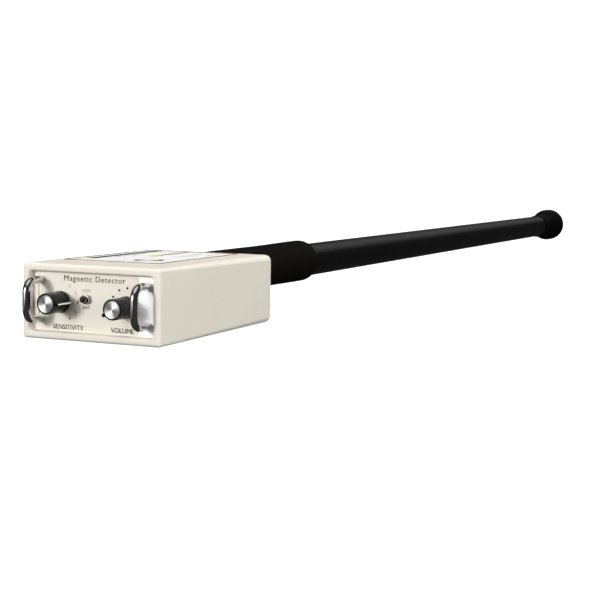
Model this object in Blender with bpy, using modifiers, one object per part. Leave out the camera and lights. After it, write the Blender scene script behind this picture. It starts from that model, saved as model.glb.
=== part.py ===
"""Handheld magnetic locator: a boxed control head with two dials and two guard handles,
a long sensor tube with a grip sleeve, and a rubber tip.

Metres, +Z up. The control panel faces -Y, the tube runs along +Y and the underside of the
housing lies in the plane Z = 0. The world origin is the middle of the object's footprint.
Every piece hangs from one empty at the foot of the housing's front face, so the places
below are measured from there: Y is the distance behind the housing's front face.
"""

import math

import bmesh
import bpy
from mathutils import Matrix, Vector

MM = 0.001
GAP = 0.3 * MM                      # clearance between pieces that rest on each other

# Housing
HOUSING_WIDTH = 93.1 * MM
HOUSING_LENGTH = 148.7 * MM
HOUSING_HEIGHT = 44.5 * MM
WALL = 2.0 * MM
REAR_WALL = 3.0 * MM
CORNER_RADIUS = 5.0 * MM            # the largest edge radius; the others are shares of it
LONG_EDGE_SHARE = 0.4
REAR_EDGE_SHARE = 1.0
FRONT_EDGE_SHARE = 0.4
LIP_WIDTH = 4.7 * MM
RECESS_DEPTH = 4.5 * MM
RECESS_CORNER = 2.0 * MM
FLANGE_BACK = 10.0 * MM             # rear face of the flange that the panel is clamped to
FLANGE_OPENING = (63.0 * MM, 32.0 * MM)
CAVITY_TOP = 42.6 * MM

# Control panel
PANEL_THICKNESS = 2.0 * MM
PANEL_MIDDLE_Z = HOUSING_HEIGHT / 2
OVERLAY_LEFT = -39.4 * MM
OVERLAY_RIGHT = 30.0 * MM
OVERLAY_BOTTOM = 6.7 * MM
OVERLAY_TOP = 38.4 * MM
OVERLAY_THICKNESS = 0.5 * MM

# Guard handles
ROD_RADIUS = 2.38 * MM
HANDLE_X = 35.9 * MM
HANDLE_MIDDLE_Z = {-1: 23.1 * MM, 1: 22.6 * MM}      # of the left and the right handle
HANDLE_BAR_Y = -10.7 * MM
HANDLE_LEG_SPACING = 22.9 * MM
HANDLE_BEND = 6.75 * MM
HANDLE_END_Y = 14.0 * MM
NUT_THICKNESS = 3.0 * MM
NUT_RADIUS = 4.6 * MM

# Dials
SENSITIVITY_PLACE = (-21.8 * MM, 22.2 * MM)          # X and Z of the dial's axis
VOLUME_PLACE = (22.6 * MM, 21.4 * MM)
KNOB_BACK_Y = 3.3 * MM
KNOB_LENGTH = 15.7 * MM
KNOB_RADIUS = 6.05 * MM
KNOB_SKIRT_RADIUS = 6.4 * MM
KNOB_SKIRT = 1.7 * MM
INLAY_RADIUS = 5.2 * MM
INLAY_THICKNESS = 0.8 * MM
POINTER_REACH = 8.0 * MM
POINTER_WIDTH = 2.0 * MM
SHAFT_RADIUS = 1.6 * MM
SHAFT_BORE = 1.9 * MM
BUSH_RADIUS = 3.1 * MM
BUSH_HOLE = 3.4 * MM
BUSH_NUT_RADIUS = 4.6 * MM
BUSH_NUT_THICKNESS = 1.7 * MM
NUT_CLEARANCE_RADIUS = 5.0 * MM
SENSITIVITY_POINTER = math.radians(0)
VOLUME_POINTER = math.radians(210)

# Low battery light
LAMP_X = -4.9 * MM
LAMP_Z = 24.6 * MM
LAMP_HOLE = 2.6 * MM

# Sensor tube
TUBE_RADIUS = 12.5 * MM
TUBE_BORE = 10.85 * MM
TUBE_Z = 29.65 * MM
TUBE_START_Y = 116.0 * MM
TUBE_END_Y = 1082.0 * MM
SLEEVE_BORE = 12.8 * MM             # bore of everything that is pushed over the tube
GRIP_LENGTH = 150.0 * MM
GRIP_RADIUS = 15.3 * MM
GRIP_SHOULDER_RADIUS = 15.9 * MM
GRIP_SHOULDER = 7.0 * MM
TIP_END_Y = 1104.5 * MM
TIP_LENGTH = 67.5 * MM
TIP_SLEEVE_RADIUS = 13.7 * MM
TIP_RADIUS = 19.3 * MM
TIP_THICKNESS = 33.5 * MM
TIP_EDGE = 4.5 * MM
TIP_TAPER = ((17.0, 19.3), (13.0, 18.9), (8.0, 17.8), (3.5, 16.4), (1.0, 15.2), (0.0, 14.2))
SENSOR_SPACING = 508.0 * MM
FRONT_SENSOR_Y = 1048.0 * MM
CABLE_RADIUS = 1.4 * MM
CABLE_DROP = 8.7 * MM               # how far below the tube's axis the cable runs

# Battery bay, behind a door in the housing's left wall. The door's own frame is turned so
# that its local Z is the depth into the housing from the wall's outer face and its local X
# runs down the wall.
DOOR_MIDDLE_Z = 22.0 * MM
DOOR_FRONT_Y = 26.0 * MM
DOOR_REAR_Y = 99.0 * MM
DOOR_HEIGHT = 35.0 * MM
HINGE_Y = 96.5 * MM
HINGE_DEPTH = 2.4 * MM
HINGE_BARREL = 1.9 * MM
HINGE_BARREL_LENGTH = 14.0 * MM
HINGE_PIN_RADIUS = 0.8 * MM
HINGE_BORE = 1.1 * MM
DOOR_SCREW_Y = 30.5 * MM
HOLDER_SIZE = (28.2 * MM, 57.5 * MM, 39.0 * MM)
HOLDER_MIDDLE = (-27.8 * MM, 63.75 * MM, 21.8 * MM)
BAY_HEIGHT = 17.8 * MM
BAY_RIB = 1.0 * MM
BATTERY_SIZE = (26.2 * MM, 46.0 * MM, 17.2 * MM)
BATTERY_X = -28.2 * MM
BATTERY_Y = 60.3 * MM

# Circuit board and speaker
BOARD_SIZE = (55.0 * MM, 86.0 * MM, 1.6 * MM)
BOARD_X = 15.0 * MM
BOARD_Y = 69.0 * MM
BOARD_Z = 24.3 * MM
STANDOFF_XS = (-9.0 * MM, 39.0 * MM)
STANDOFF_YS = (30.0 * MM, 108.0 * MM)
STANDOFF_RADIUS = 2.2 * MM
SPEAKER_Y = 120.0 * MM
SPEAKER_Z = 22.0 * MM
SPEAKER_RADIUS = 14.0 * MM
GRILLE_HOLE = 1.1 * MM
GRILLE_PITCH = 4.2 * MM

# Tube saddle
SADDLE_SIZE = (40.0 * MM, 22.0 * MM, 23.4 * MM)
SADDLE_Y = 130.0 * MM
SADDLE_SCREW_X = 15.0 * MM

# Label on the housing's top
LABEL_SIZE = (66.5 * MM, 105.0 * MM, 0.3 * MM)
LABEL_X = -5.75 * MM
LABEL_Y = 83.5 * MM
LABEL_POCKET = 0.5 * MM

FRONT_OVERHANG = ROD_RADIUS - HANDLE_BAR_Y
MIDDLE_Y = (TIP_END_Y - FRONT_OVERHANG) / 2

FACING_FRONT = (math.radians(90), 0, 0)      # local +Z points to -Y
FACING_TIP = (math.radians(-90), 0, 0)       # local +Z points to +Y
FACING_LEFT = (0, math.radians(-90), 0)      # local +Z points to -X

# sRGB colour, roughness and metallic value of each finish
FINISHES = {
    "cream_paint": ((0.86, 0.84, 0.79), 0.5, 0.0),
    "overlay_film": ((0.9, 0.89, 0.85), 0.45, 0.0),
    "label_film": ((0.93, 0.93, 0.91), 0.4, 0.0),
    "chrome": ((0.8, 0.8, 0.8), 0.12, 1.0),
    "spun_aluminium": ((0.78, 0.77, 0.75), 0.3, 1.0),
    "knob_plastic": ((0.06, 0.06, 0.06), 0.35, 0.0),
    "plated_steel": ((0.6, 0.6, 0.58), 0.35, 1.0),
    "lamp_red": ((0.3, 0.05, 0.04), 0.2, 0.0),
    "black_tube": ((0.06, 0.06, 0.065), 0.4, 0.0),
    "grip_rubber": ((0.07, 0.065, 0.06), 0.8, 0.0),
    "tip_rubber": ((0.06, 0.06, 0.06), 0.7, 0.0),
    "board_green": ((0.1, 0.35, 0.2), 0.5, 0.0),
    "black_plastic": ((0.08, 0.08, 0.08), 0.5, 0.0),
    "battery_case": ((0.75, 0.6, 0.3), 0.35, 0.6),
    "copper_winding": ((0.72, 0.4, 0.25), 0.35, 0.9),
    "paper_cone": ((0.15, 0.14, 0.13), 0.9, 0.0),
    "cable_jacket": ((0.3, 0.3, 0.32), 0.6, 0.0),
}


def clear_scene():
    for obj in list(bpy.data.objects):
        bpy.data.objects.remove(obj, do_unlink=True)


def new_collection(name):
    group = bpy.data.collections.new(name)
    bpy.context.scene.collection.children.link(group)
    return group


def linear(channel):
    """The linear value of one sRGB channel."""
    if channel <= 0.04045:
        return channel / 12.92
    return ((channel + 0.055) / 1.055) ** 2.4


def finish_material(name):
    colour, roughness, metallic = FINISHES[name]
    material = bpy.data.materials.get(name) or bpy.data.materials.new(name)
    material.use_nodes = True
    shader = material.node_tree.nodes["Principled BSDF"]
    shader.inputs["Base Color"].default_value = (*[linear(c) for c in colour], 1)
    shader.inputs["Roughness"].default_value = roughness
    shader.inputs["Metallic"].default_value = metallic
    return material


clear_scene()
PARTS = new_collection("magnetic_locator")
CUTTERS = new_collection("cutters")
FRAME = bpy.data.objects.new("housing_front_foot", None)
FRAME.location = (0, -MIDDLE_Y, 0)
PARTS.objects.link(FRAME)
DOOR_FRAME = bpy.data.objects.new("door_frame", None)
DOOR_FRAME.parent = FRAME
DOOR_FRAME.location = (-HOUSING_WIDTH / 2, 0, DOOR_MIDDLE_Z)
DOOR_FRAME.rotation_euler = (0, math.radians(90), 0)
PARTS.objects.link(DOOR_FRAME)


# Ways of making shapes

def place(obj, finish, location, rotation=(0, 0, 0), parent=None):
    """Put a finished piece in its place, measured from the foot of the housing's front
    unless it has another parent."""
    PARTS.objects.link(obj)
    obj.parent = parent or FRAME
    obj.location = location
    obj.rotation_euler = rotation
    obj.data.materials.append(finish_material(finish))
    return obj


def guide(obj, location=(0, 0, 0), rotation=(0, 0, 0), parent=None):
    """Put a cutter in its place; it shapes other pieces and isn't one itself."""
    CUTTERS.objects.link(obj)
    obj.parent = parent or FRAME
    obj.location = location
    obj.rotation_euler = rotation
    obj.hide_render = True
    obj.display_type = "WIRE"
    return obj


def combine(target, tool, operation):
    boolean = target.modifiers.new(operation.title(), "BOOLEAN")
    boolean.operation = operation
    boolean.object = tool
    boolean.solver = "EXACT"


def cut(target, tool):
    combine(target, tool, "DIFFERENCE")


def join(target, tool):
    combine(target, tool, "UNION")


def box(name, size, bevel=0.0, segments=2):
    """A box about its own middle, with rounded edges if a bevel is given."""
    mesh = bpy.data.meshes.new(name)
    bm = bmesh.new()
    bmesh.ops.create_cube(bm, size=1)
    bmesh.ops.scale(bm, vec=size, verts=bm.verts)
    bm.to_mesh(mesh)
    bm.free()
    obj = bpy.data.objects.new(name, mesh)
    if bevel:
        rounding = obj.modifiers.new("Rounding", "BEVEL")
        rounding.width = bevel
        rounding.segments = segments
    return obj


def upright_box(name, size, radius, axis):
    """A box whose four edges along one axis are rounded."""
    obj = box(name, size)
    bm = bmesh.new()
    bm.from_mesh(obj.data)
    edges = [e for e in bm.edges if abs(edge_direction(e)[axis]) > 0.9]
    bmesh.ops.bevel(bm, geom=edges, offset=radius, segments=4, profile=0.5, affect="EDGES")
    bm.to_mesh(obj.data)
    bm.free()
    return obj


def edge_direction(edge):
    return (edge.verts[1].co - edge.verts[0].co).normalized()


def rods(name, holes, segments=12):
    """One mesh of straight cylinders. Each is (middle, direction, radius, length)."""
    mesh = bpy.data.meshes.new(name)
    bm = bmesh.new()
    for middle, direction, radius, length in holes:
        turn = Vector(direction).to_track_quat("Z", "Y").to_matrix().to_4x4()
        bmesh.ops.create_cone(bm, cap_ends=True, segments=segments, radius1=radius,
                              radius2=radius, depth=length,
                              matrix=Matrix.Translation(middle) @ turn)
    bm.to_mesh(mesh)
    bm.free()
    return bpy.data.objects.new(name, mesh)


def turned(name, profile, steps=20):
    """A solid turned about local Z. The profile's (radius, height) points run down the
    outer side; one that starts off the axis is closed into a ring."""
    mesh = bpy.data.meshes.new(name)
    points = [(radius, 0, height) for radius, height in profile]
    edges = [(i, i + 1) for i in range(len(points) - 1)]
    if profile[0][0] > 0:
        edges.append((len(points) - 1, 0))
    mesh.from_pydata(points, edges, [])
    obj = bpy.data.objects.new(name, mesh)
    screw = obj.modifiers.new("Turn", "SCREW")
    screw.steps = steps
    screw.render_steps = steps
    screw.use_merge_vertices = True
    screw.merge_threshold = 0.01 * MM
    screw.use_smooth_shade = True
    return obj


def arc(middle, radius, start, end, count=5):
    """Points along an arc from one angle to another, in degrees."""
    angles = [math.radians(start + (end - start) * i / count) for i in range(count + 1)]
    return [(middle[0] + radius * math.cos(a), middle[1] + radius * math.sin(a)) for a in angles]


def circle(middle, radius, count=16):
    return arc(middle, radius, 0, 360 - 360 / count, count - 1)


def rounded_rectangle(low, high, radius):
    corners = (((high[0] - radius, high[1] - radius), 0), ((low[0] + radius, high[1] - radius), 90),
               ((low[0] + radius, low[1] + radius), 180), ((high[0] - radius, low[1] + radius), 270))
    return [point for middle, start in corners for point in arc(middle, radius, start, start + 90, 4)]


def plate(name, loops, thickness):
    """A flat plate about its mid-plane: the first loop is its edge, the others are holes."""
    curve = bpy.data.curves.new(name, "CURVE")
    curve.dimensions = "2D"
    curve.fill_mode = "BOTH"
    curve.extrude = thickness / 2
    for loop in loops:
        spline = curve.splines.new("POLY")
        spline.points.add(len(loop) - 1)
        for point, (x, y) in zip(spline.points, loop):
            point.co = (x, y, 0, 1)
        spline.use_cyclic_u = True
    return bpy.data.objects.new(name, curve)


def wire(name, points, radius, resolution=2):
    """A round rod along a line of points."""
    curve = bpy.data.curves.new(name, "CURVE")
    curve.dimensions = "3D"
    curve.bevel_depth = radius
    curve.bevel_resolution = resolution
    curve.use_fill_caps = True
    spline = curve.splines.new("POLY")
    spline.points.add(len(points) - 1)
    for point, place_at in zip(spline.points, points):
        point.co = (*place_at, 1)
    return bpy.data.objects.new(name, curve)


def hex_nut(name, radius, hole, thickness):
    outline = [(radius * math.cos(math.radians(60 * i)), radius * math.sin(math.radians(60 * i)))
               for i in range(6)]
    return plate(name, [outline, circle((0, 0), hole, 16)], thickness)


# Housing

def handle_leg_places():
    half = HANDLE_LEG_SPACING / 2
    return [(side * HANDLE_X, middle + offset) for side, middle in HANDLE_MIDDLE_Z.items()
            for offset in (-half, half)]


def grille_places():
    """Nineteen holes in rings of one, six and twelve, as (Y, Z) offsets."""
    places = []
    for column in range(-2, 3):
        count = 5 - abs(column)
        for row in range(count):
            places.append((column * GRILLE_PITCH * math.cos(math.radians(30)),
                           (row - (count - 1) / 2) * GRILLE_PITCH))
    return places


def housing_blank():
    """The housing's outer form, with its own radius on the long, rear and front edges."""
    shell = box("housing_shell", (HOUSING_WIDTH, HOUSING_LENGTH, HOUSING_HEIGHT))
    bm = bmesh.new()
    bm.from_mesh(shell.data)
    weight = bm.edges.layers.float.new("bevel_weight_edge")
    for edge in bm.edges:
        if abs(edge_direction(edge).y) > 0.9:
            edge[weight] = LONG_EDGE_SHARE
        elif edge.verts[0].co.y > 0:
            edge[weight] = REAR_EDGE_SHARE
        else:
            edge[weight] = FRONT_EDGE_SHARE
    bm.to_mesh(shell.data)
    bm.free()
    rounding = shell.modifiers.new("Rounding", "BEVEL")
    rounding.width = CORNER_RADIUS
    rounding.segments = 4
    rounding.limit_method = "WEIGHT"
    return shell


def hinge_lug(side):
    """A knuckle that holds one end of the door's hinge pin, inside the housing's wall."""
    length = 4.0 * MM
    x = side * (HINGE_BARREL_LENGTH / 2 + GAP + length / 2)
    foot_length = 6.0 * MM
    low, high = HINGE_DEPTH - 0.9 * MM, HINGE_DEPTH + HINGE_BARREL
    foot = guide(box("lug_foot", (length, foot_length, high - low)),
                 (x, HINGE_Y + foot_length / 2, (low + high) / 2), parent=DOOR_FRAME)
    barrel = guide(rods("lug_barrel", [((0, 0, 0), (1, 0, 0), HINGE_BARREL, length)]),
                   (x, HINGE_Y, HINGE_DEPTH), parent=DOOR_FRAME)
    return foot, barrel


def door_screw_tab():
    """The tab inside the door's front edge that takes the door screw."""
    width, thickness = 12.0 * MM, 2.5 * MM
    front_y, rear_y = 20.0 * MM, 34.0 * MM
    base = WALL + 0.4 * MM
    shelf = guide(box("tab_shelf", (width, rear_y - front_y, thickness)),
                  (0, (front_y + rear_y) / 2, base + thickness / 2), parent=DOOR_FRAME)
    foot_length = DOOR_FRONT_Y - GAP - front_y
    foot_depth = base + thickness - WALL / 2
    foot = guide(box("tab_foot", (width - MM, foot_length, foot_depth - 0.5 * MM)),
                 (0, front_y + foot_length / 2 + 0.1 * MM, WALL / 2 + foot_depth / 2 - 0.25 * MM),
                 parent=DOOR_FRAME)
    return shelf, foot


def housing_holes():
    """Every round hole that goes through the housing's walls."""
    rear_y = HOUSING_LENGTH - REAR_WALL / 2
    flange_y = (RECESS_DEPTH + PANEL_THICKNESS + FLANGE_BACK) / 2
    side_x = -HOUSING_WIDTH / 2 + WALL / 2
    forward, sideways, up = (0, 1, 0), (1, 0, 0), (0, 0, 1)
    holes = [((x, flange_y, z), forward, ROD_RADIUS + GAP, 6 * MM) for x, z in handle_leg_places()]
    holes += [((side_x, SPEAKER_Y + y, SPEAKER_Z + z), sideways, GRILLE_HOLE, 2 * WALL)
              for y, z in grille_places()]
    holes += [((side * SADDLE_SCREW_X, SADDLE_Y, WALL / 2), up, 1.9 * MM, 2 * WALL) for side in (-1, 1)]
    holes.append(((0, SADDLE_Y, WALL / 2), up, 3.2 * MM, 2 * WALL))
    small = guide(rods("housing_small_holes", holes, 10))
    door_holes = [((0, DOOR_SCREW_Y, WALL + 2 * MM), up, 2.1 * MM, 4 * MM),
                  ((0, HINGE_Y, HINGE_DEPTH), sideways, HINGE_BORE, 30 * MM)]
    door_small = guide(rods("door_side_holes", door_holes), parent=DOOR_FRAME)
    tube_hole = guide(rods("housing_tube_hole", [((0, rear_y, TUBE_Z), forward, SLEEVE_BORE, 3 * REAR_WALL)],
                           48))
    seats = guide(rods("saddle_screw_seats", [((side * SADDLE_SCREW_X, SADDLE_Y, 0), up, 3.5 * MM, 2.4 * MM)
                                              for side in (-1, 1)]))
    return small, door_small, tube_hole, seats


def housing_shell():
    shell = housing_blank()
    middle = (0, HOUSING_LENGTH / 2, HOUSING_HEIGHT / 2)
    place(shell, "cream_paint", middle)
    panel_back = RECESS_DEPTH + PANEL_THICKNESS + GAP
    recess_size = (HOUSING_WIDTH - 2 * LIP_WIDTH, 2 * panel_back, HOUSING_HEIGHT - 2 * LIP_WIDTH)
    cut(shell, guide(upright_box("recess", recess_size, RECESS_CORNER, 1), (0, 0, PANEL_MIDDLE_Z)))
    neck_size = (FLANGE_OPENING[0], 3 * FLANGE_BACK, FLANGE_OPENING[1])
    cut(shell, guide(upright_box("flange_opening", neck_size, RECESS_CORNER, 1), (0, 0, PANEL_MIDDLE_Z)))
    cavity_rear = HOUSING_LENGTH - REAR_WALL
    cavity_size = (HOUSING_WIDTH - 2 * WALL, cavity_rear - FLANGE_BACK, CAVITY_TOP - WALL)
    cavity_middle = (0, (cavity_rear + FLANGE_BACK) / 2, (CAVITY_TOP + WALL) / 2)
    cut(shell, guide(upright_box("cavity", cavity_size, RECESS_CORNER, 1), cavity_middle))
    door_size = (DOOR_HEIGHT, DOOR_REAR_Y - DOOR_FRONT_Y, 3 * WALL)
    door_middle = (0, (DOOR_REAR_Y + DOOR_FRONT_Y) / 2, 0)
    cut(shell, guide(upright_box("door_opening", door_size, RECESS_CORNER, 2), door_middle,
                     parent=DOOR_FRAME))
    pocket_size = (LABEL_SIZE[0] + 2 * GAP, LABEL_SIZE[1] + 2 * GAP, 2 * LABEL_POCKET)
    cut(shell, guide(upright_box("label_pocket", pocket_size, RECESS_CORNER, 2),
                     (LABEL_X, LABEL_Y, HOUSING_HEIGHT)))
    for piece in (*hinge_lug(-1), *hinge_lug(1), *door_screw_tab()):
        join(shell, piece)
    for piece in housing_holes():
        cut(shell, piece)


def front_panel():
    half_width = HOUSING_WIDTH / 2 - LIP_WIDTH - GAP
    half_height = HOUSING_HEIGHT / 2 - LIP_WIDTH - GAP
    edge = rounded_rectangle((-half_width, -half_height), (half_width, half_height), RECESS_CORNER)
    holes = [circle((x, z - PANEL_MIDDLE_Z), ROD_RADIUS + GAP) for x, z in handle_leg_places()]
    holes += [circle((x, z - PANEL_MIDDLE_Z), BUSH_HOLE) for x, z in (SENSITIVITY_PLACE, VOLUME_PLACE)]
    holes.append(circle((LAMP_X, LAMP_Z - PANEL_MIDDLE_Z), LAMP_HOLE))
    y = RECESS_DEPTH + PANEL_THICKNESS / 2
    place(plate("front_panel", [edge, *holes], PANEL_THICKNESS), "cream_paint",
          (0, y, PANEL_MIDDLE_Z), FACING_FRONT)


def panel_overlay():
    """The printed film on the panel, with clearance for the nuts, the lamp and the rods."""
    edge = rounded_rectangle((OVERLAY_LEFT, OVERLAY_BOTTOM), (OVERLAY_RIGHT, OVERLAY_TOP), MM)
    holes = [circle((x, z), ROD_RADIUS + GAP) for x, z in handle_leg_places() if x < 0]
    holes += [circle(dial_place, NUT_CLEARANCE_RADIUS) for dial_place in (SENSITIVITY_PLACE, VOLUME_PLACE)]
    holes.append(circle((LAMP_X, LAMP_Z), LAMP_HOLE))
    y = RECESS_DEPTH - GAP - OVERLAY_THICKNESS / 2
    place(plate("panel_overlay", [edge, *holes], OVERLAY_THICKNESS), "overlay_film",
          (0, y, 0), FACING_FRONT)


def top_label():
    half_x, half_y = LABEL_SIZE[0] / 2, LABEL_SIZE[1] / 2
    edge = rounded_rectangle((-half_x, -half_y), (half_x, half_y), RECESS_CORNER)
    z = HOUSING_HEIGHT - LABEL_POCKET + GAP + LABEL_SIZE[2] / 2
    place(plate("top_label", [edge], LABEL_SIZE[2]), "label_film", (LABEL_X, LABEL_Y, z))


# Guard handles

def handle_path():
    """One U of rod in the plane of Y and Z, from the lower leg's end to the upper leg's."""
    half = HANDLE_LEG_SPACING / 2
    bend_y = HANDLE_BAR_Y + HANDLE_BEND
    lower = arc((bend_y, HANDLE_BEND - half), HANDLE_BEND, 270, 180, 6)
    upper = arc((bend_y, half - HANDLE_BEND), HANDLE_BEND, 180, 90, 6)
    flat = [(HANDLE_END_Y, -half), *lower, *upper, (HANDLE_END_Y, half)]
    return [(0, y, z) for y, z in flat]


def guard_handle(name, side):
    middle_z = HANDLE_MIDDLE_Z[side]
    place(wire(name, handle_path(), ROD_RADIUS, 4), "chrome", (side * HANDLE_X, 0, middle_z))
    for height, word in ((-1, "lower"), (1, "upper")):
        z = middle_z + height * HANDLE_LEG_SPACING / 2
        nut = hex_nut(f"{name}_{word}_nut", NUT_RADIUS, ROD_RADIUS + GAP, NUT_THICKNESS)
        place(nut, "plated_steel", (side * HANDLE_X, FLANGE_BACK + GAP + NUT_THICKNESS / 2, z), FACING_FRONT)


# Dials

def knob(name, location, rotation):
    """A round knob with a recess for its inlay, a raised pointer and a set screw hole."""
    floor = KNOB_LENGTH - INLAY_THICKNESS - GAP
    pocket = INLAY_RADIUS + GAP
    profile = [(0, floor), (pocket, floor), (pocket, KNOB_LENGTH),
               (KNOB_RADIUS - 0.25 * MM, KNOB_LENGTH), (KNOB_RADIUS, KNOB_LENGTH - 0.25 * MM),
               (KNOB_RADIUS, KNOB_SKIRT), (KNOB_SKIRT_RADIUS, KNOB_SKIRT - 0.25 * MM),
               (KNOB_SKIRT_RADIUS, 0), (NUT_CLEARANCE_RADIUS, 0), (NUT_CLEARANCE_RADIUS, 2.7 * MM),
               (SHAFT_BORE, 2.7 * MM), (SHAFT_BORE, 11 * MM), (0, 11 * MM)]
    body = place(turned(name, profile, 28), "knob_plastic", location, rotation)
    rib_root = pocket + 0.2 * MM
    rib_height = KNOB_LENGTH - 1.0 * MM
    rib = box(name + "_pointer", (POINTER_REACH - rib_root, POINTER_WIDTH, rib_height), 0.4 * MM)
    join(body, guide(rib, ((POINTER_REACH + rib_root) / 2, 0, rib_height / 2 + 0.4 * MM), parent=body))
    screw_hole = rods(name + "_screw_hole", [((0, 5 * MM, 6.8 * MM), (0, 1, 0), 1.15 * MM, 10 * MM)], 12)
    cut(body, guide(screw_hole, parent=body))


def dial(name, axis_place, pointer, body_radius, body_length, body_name):
    """A knob with its inlay, set screw and shaft, and the control that it turns."""
    x, z = axis_place
    turn = (FACING_FRONT[0], -pointer, 0)
    axis_point = (x, KNOB_BACK_Y, z)
    knob(name + "_knob", axis_point, turn)
    inlay = turned(name + "_inlay", [(0, INLAY_THICKNESS), (INLAY_RADIUS - 0.2 * MM, INLAY_THICKNESS),
                                     (INLAY_RADIUS, INLAY_THICKNESS - 0.2 * MM), (INLAY_RADIUS, 0), (0, 0)],
                   28)
    place(inlay, "spun_aluminium", (x, KNOB_BACK_Y - KNOB_LENGTH + INLAY_THICKNESS, z), turn)
    set_screw(name + "_set_screw", axis_point, turn)
    back_y = RECESS_DEPTH + PANEL_THICKNESS + GAP
    shaft_front, shaft_back = 7.3 * MM, body_length - 1.5 * MM
    place(rods(name + "_shaft", [((0, 0, (shaft_front - shaft_back) / 2 - back_y + KNOB_BACK_Y), (0, 0, 1),
                                  SHAFT_RADIUS, shaft_front + shaft_back)]), "plated_steel", axis_point, turn)
    front = back_y - 0.9 * MM
    bore_end = -body_length + 1.2 * MM
    control = turned(body_name, [(0, bore_end), (SHAFT_BORE, bore_end), (SHAFT_BORE, front),
                                 (BUSH_RADIUS, front), (BUSH_RADIUS, 0), (body_radius, 0),
                                 (body_radius, -body_length), (0, -body_length)])
    place(control, "black_plastic", (x, back_y, z), FACING_FRONT)
    nut = hex_nut(name + "_bush_nut", BUSH_NUT_RADIUS, BUSH_HOLE, BUSH_NUT_THICKNESS)
    place(nut, "plated_steel", (x, RECESS_DEPTH - GAP - BUSH_NUT_THICKNESS / 2, z), FACING_FRONT)


def set_screw(name, axis_point, turn):
    """The screw in the knob's side that grips the shaft, a quarter turn from the pointer."""
    inner, outer = 2.2 * MM, 5.7 * MM
    middle = (0, (inner + outer) / 2, 6.8 * MM)
    screw = rods(name, [(middle, (0, 1, 0), 0.85 * MM, outer - inner)], 12)
    place(screw, "plated_steel", axis_point, turn)


def low_battery_lamp():
    """A chrome bezel through the panel and the domed lens that stands in it."""
    flange_front, flange_back = 1.5 * MM, 0.3 * MM
    barrel_end = -4.3 * MM
    bore = 1.9 * MM
    seat = RECESS_DEPTH - GAP - OVERLAY_THICKNESS
    bezel = [(bore, flange_front), (2.5 * MM, flange_front), (2.9 * MM, flange_front - 0.4 * MM),
             (2.9 * MM, flange_back), (2.3 * MM, flange_back), (2.3 * MM, barrel_end), (bore, barrel_end)]
    place(turned("lamp_bezel", bezel), "chrome", (LAMP_X, seat, LAMP_Z), FACING_FRONT)
    head, stem = 2.1 * MM, 1.6 * MM
    dome_base = flange_front + 1.4 * MM
    dome = [(r, dome_base + h) for r, h in reversed(arc((0, 0), head, 0, 90, 5))]
    dome[0] = (0, dome_base + head)
    lens = [*dome, (head, flange_front + GAP), (stem, flange_front + GAP), (stem, barrel_end - 2 * MM),
            (0, barrel_end - 2 * MM)]
    place(turned("lamp_lens", lens), "lamp_red", (LAMP_X, seat, LAMP_Z), FACING_FRONT)


# Inside the housing

def battery_bay():
    """A two-storey tray that is open towards the door, with a battery in each bay."""
    holder = place(box("battery_holder", HOLDER_SIZE), "black_plastic", HOLDER_MIDDLE)
    wall = 1.2 * MM
    bay_size = (HOLDER_SIZE[0], HOLDER_SIZE[1] - 2 * wall, BAY_HEIGHT)
    for level, word in ((-1, "lower"), (1, "upper")):
        z = HOLDER_MIDDLE[2] + level * (BAY_HEIGHT + BAY_RIB) / 2
        bay = guide(box(f"{word}_bay", bay_size), (HOLDER_MIDDLE[0] - wall, HOLDER_MIDDLE[1], z))
        cut(holder, bay)
        battery("battery_" + word, z)
        snap = box("battery_snap_" + word, (25 * MM, 2 * MM, 12 * MM), 0.5 * MM)
        snap_y = BATTERY_Y + BATTERY_SIZE[1] / 2 + 4.2 * MM
        place(snap, "black_plastic", (BATTERY_X, snap_y, z))


def battery(name, z):
    """A nine volt block with its two snap studs on the end that faces the tube."""
    body = place(box(name, BATTERY_SIZE, 1.6 * MM), "battery_case", (BATTERY_X, BATTERY_Y, z))
    stud_spacing = 12.7 * MM
    end = BATTERY_SIZE[1] / 2
    studs = [((side * stud_spacing / 2, end + 0.9 * MM, 0), (0, 1, 0), radius, 3.0 * MM)
             for side, radius in ((-1, 2.9 * MM), (1, 3.7 * MM))]
    join(body, guide(rods(name + "_studs", studs, 16), parent=body))


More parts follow.
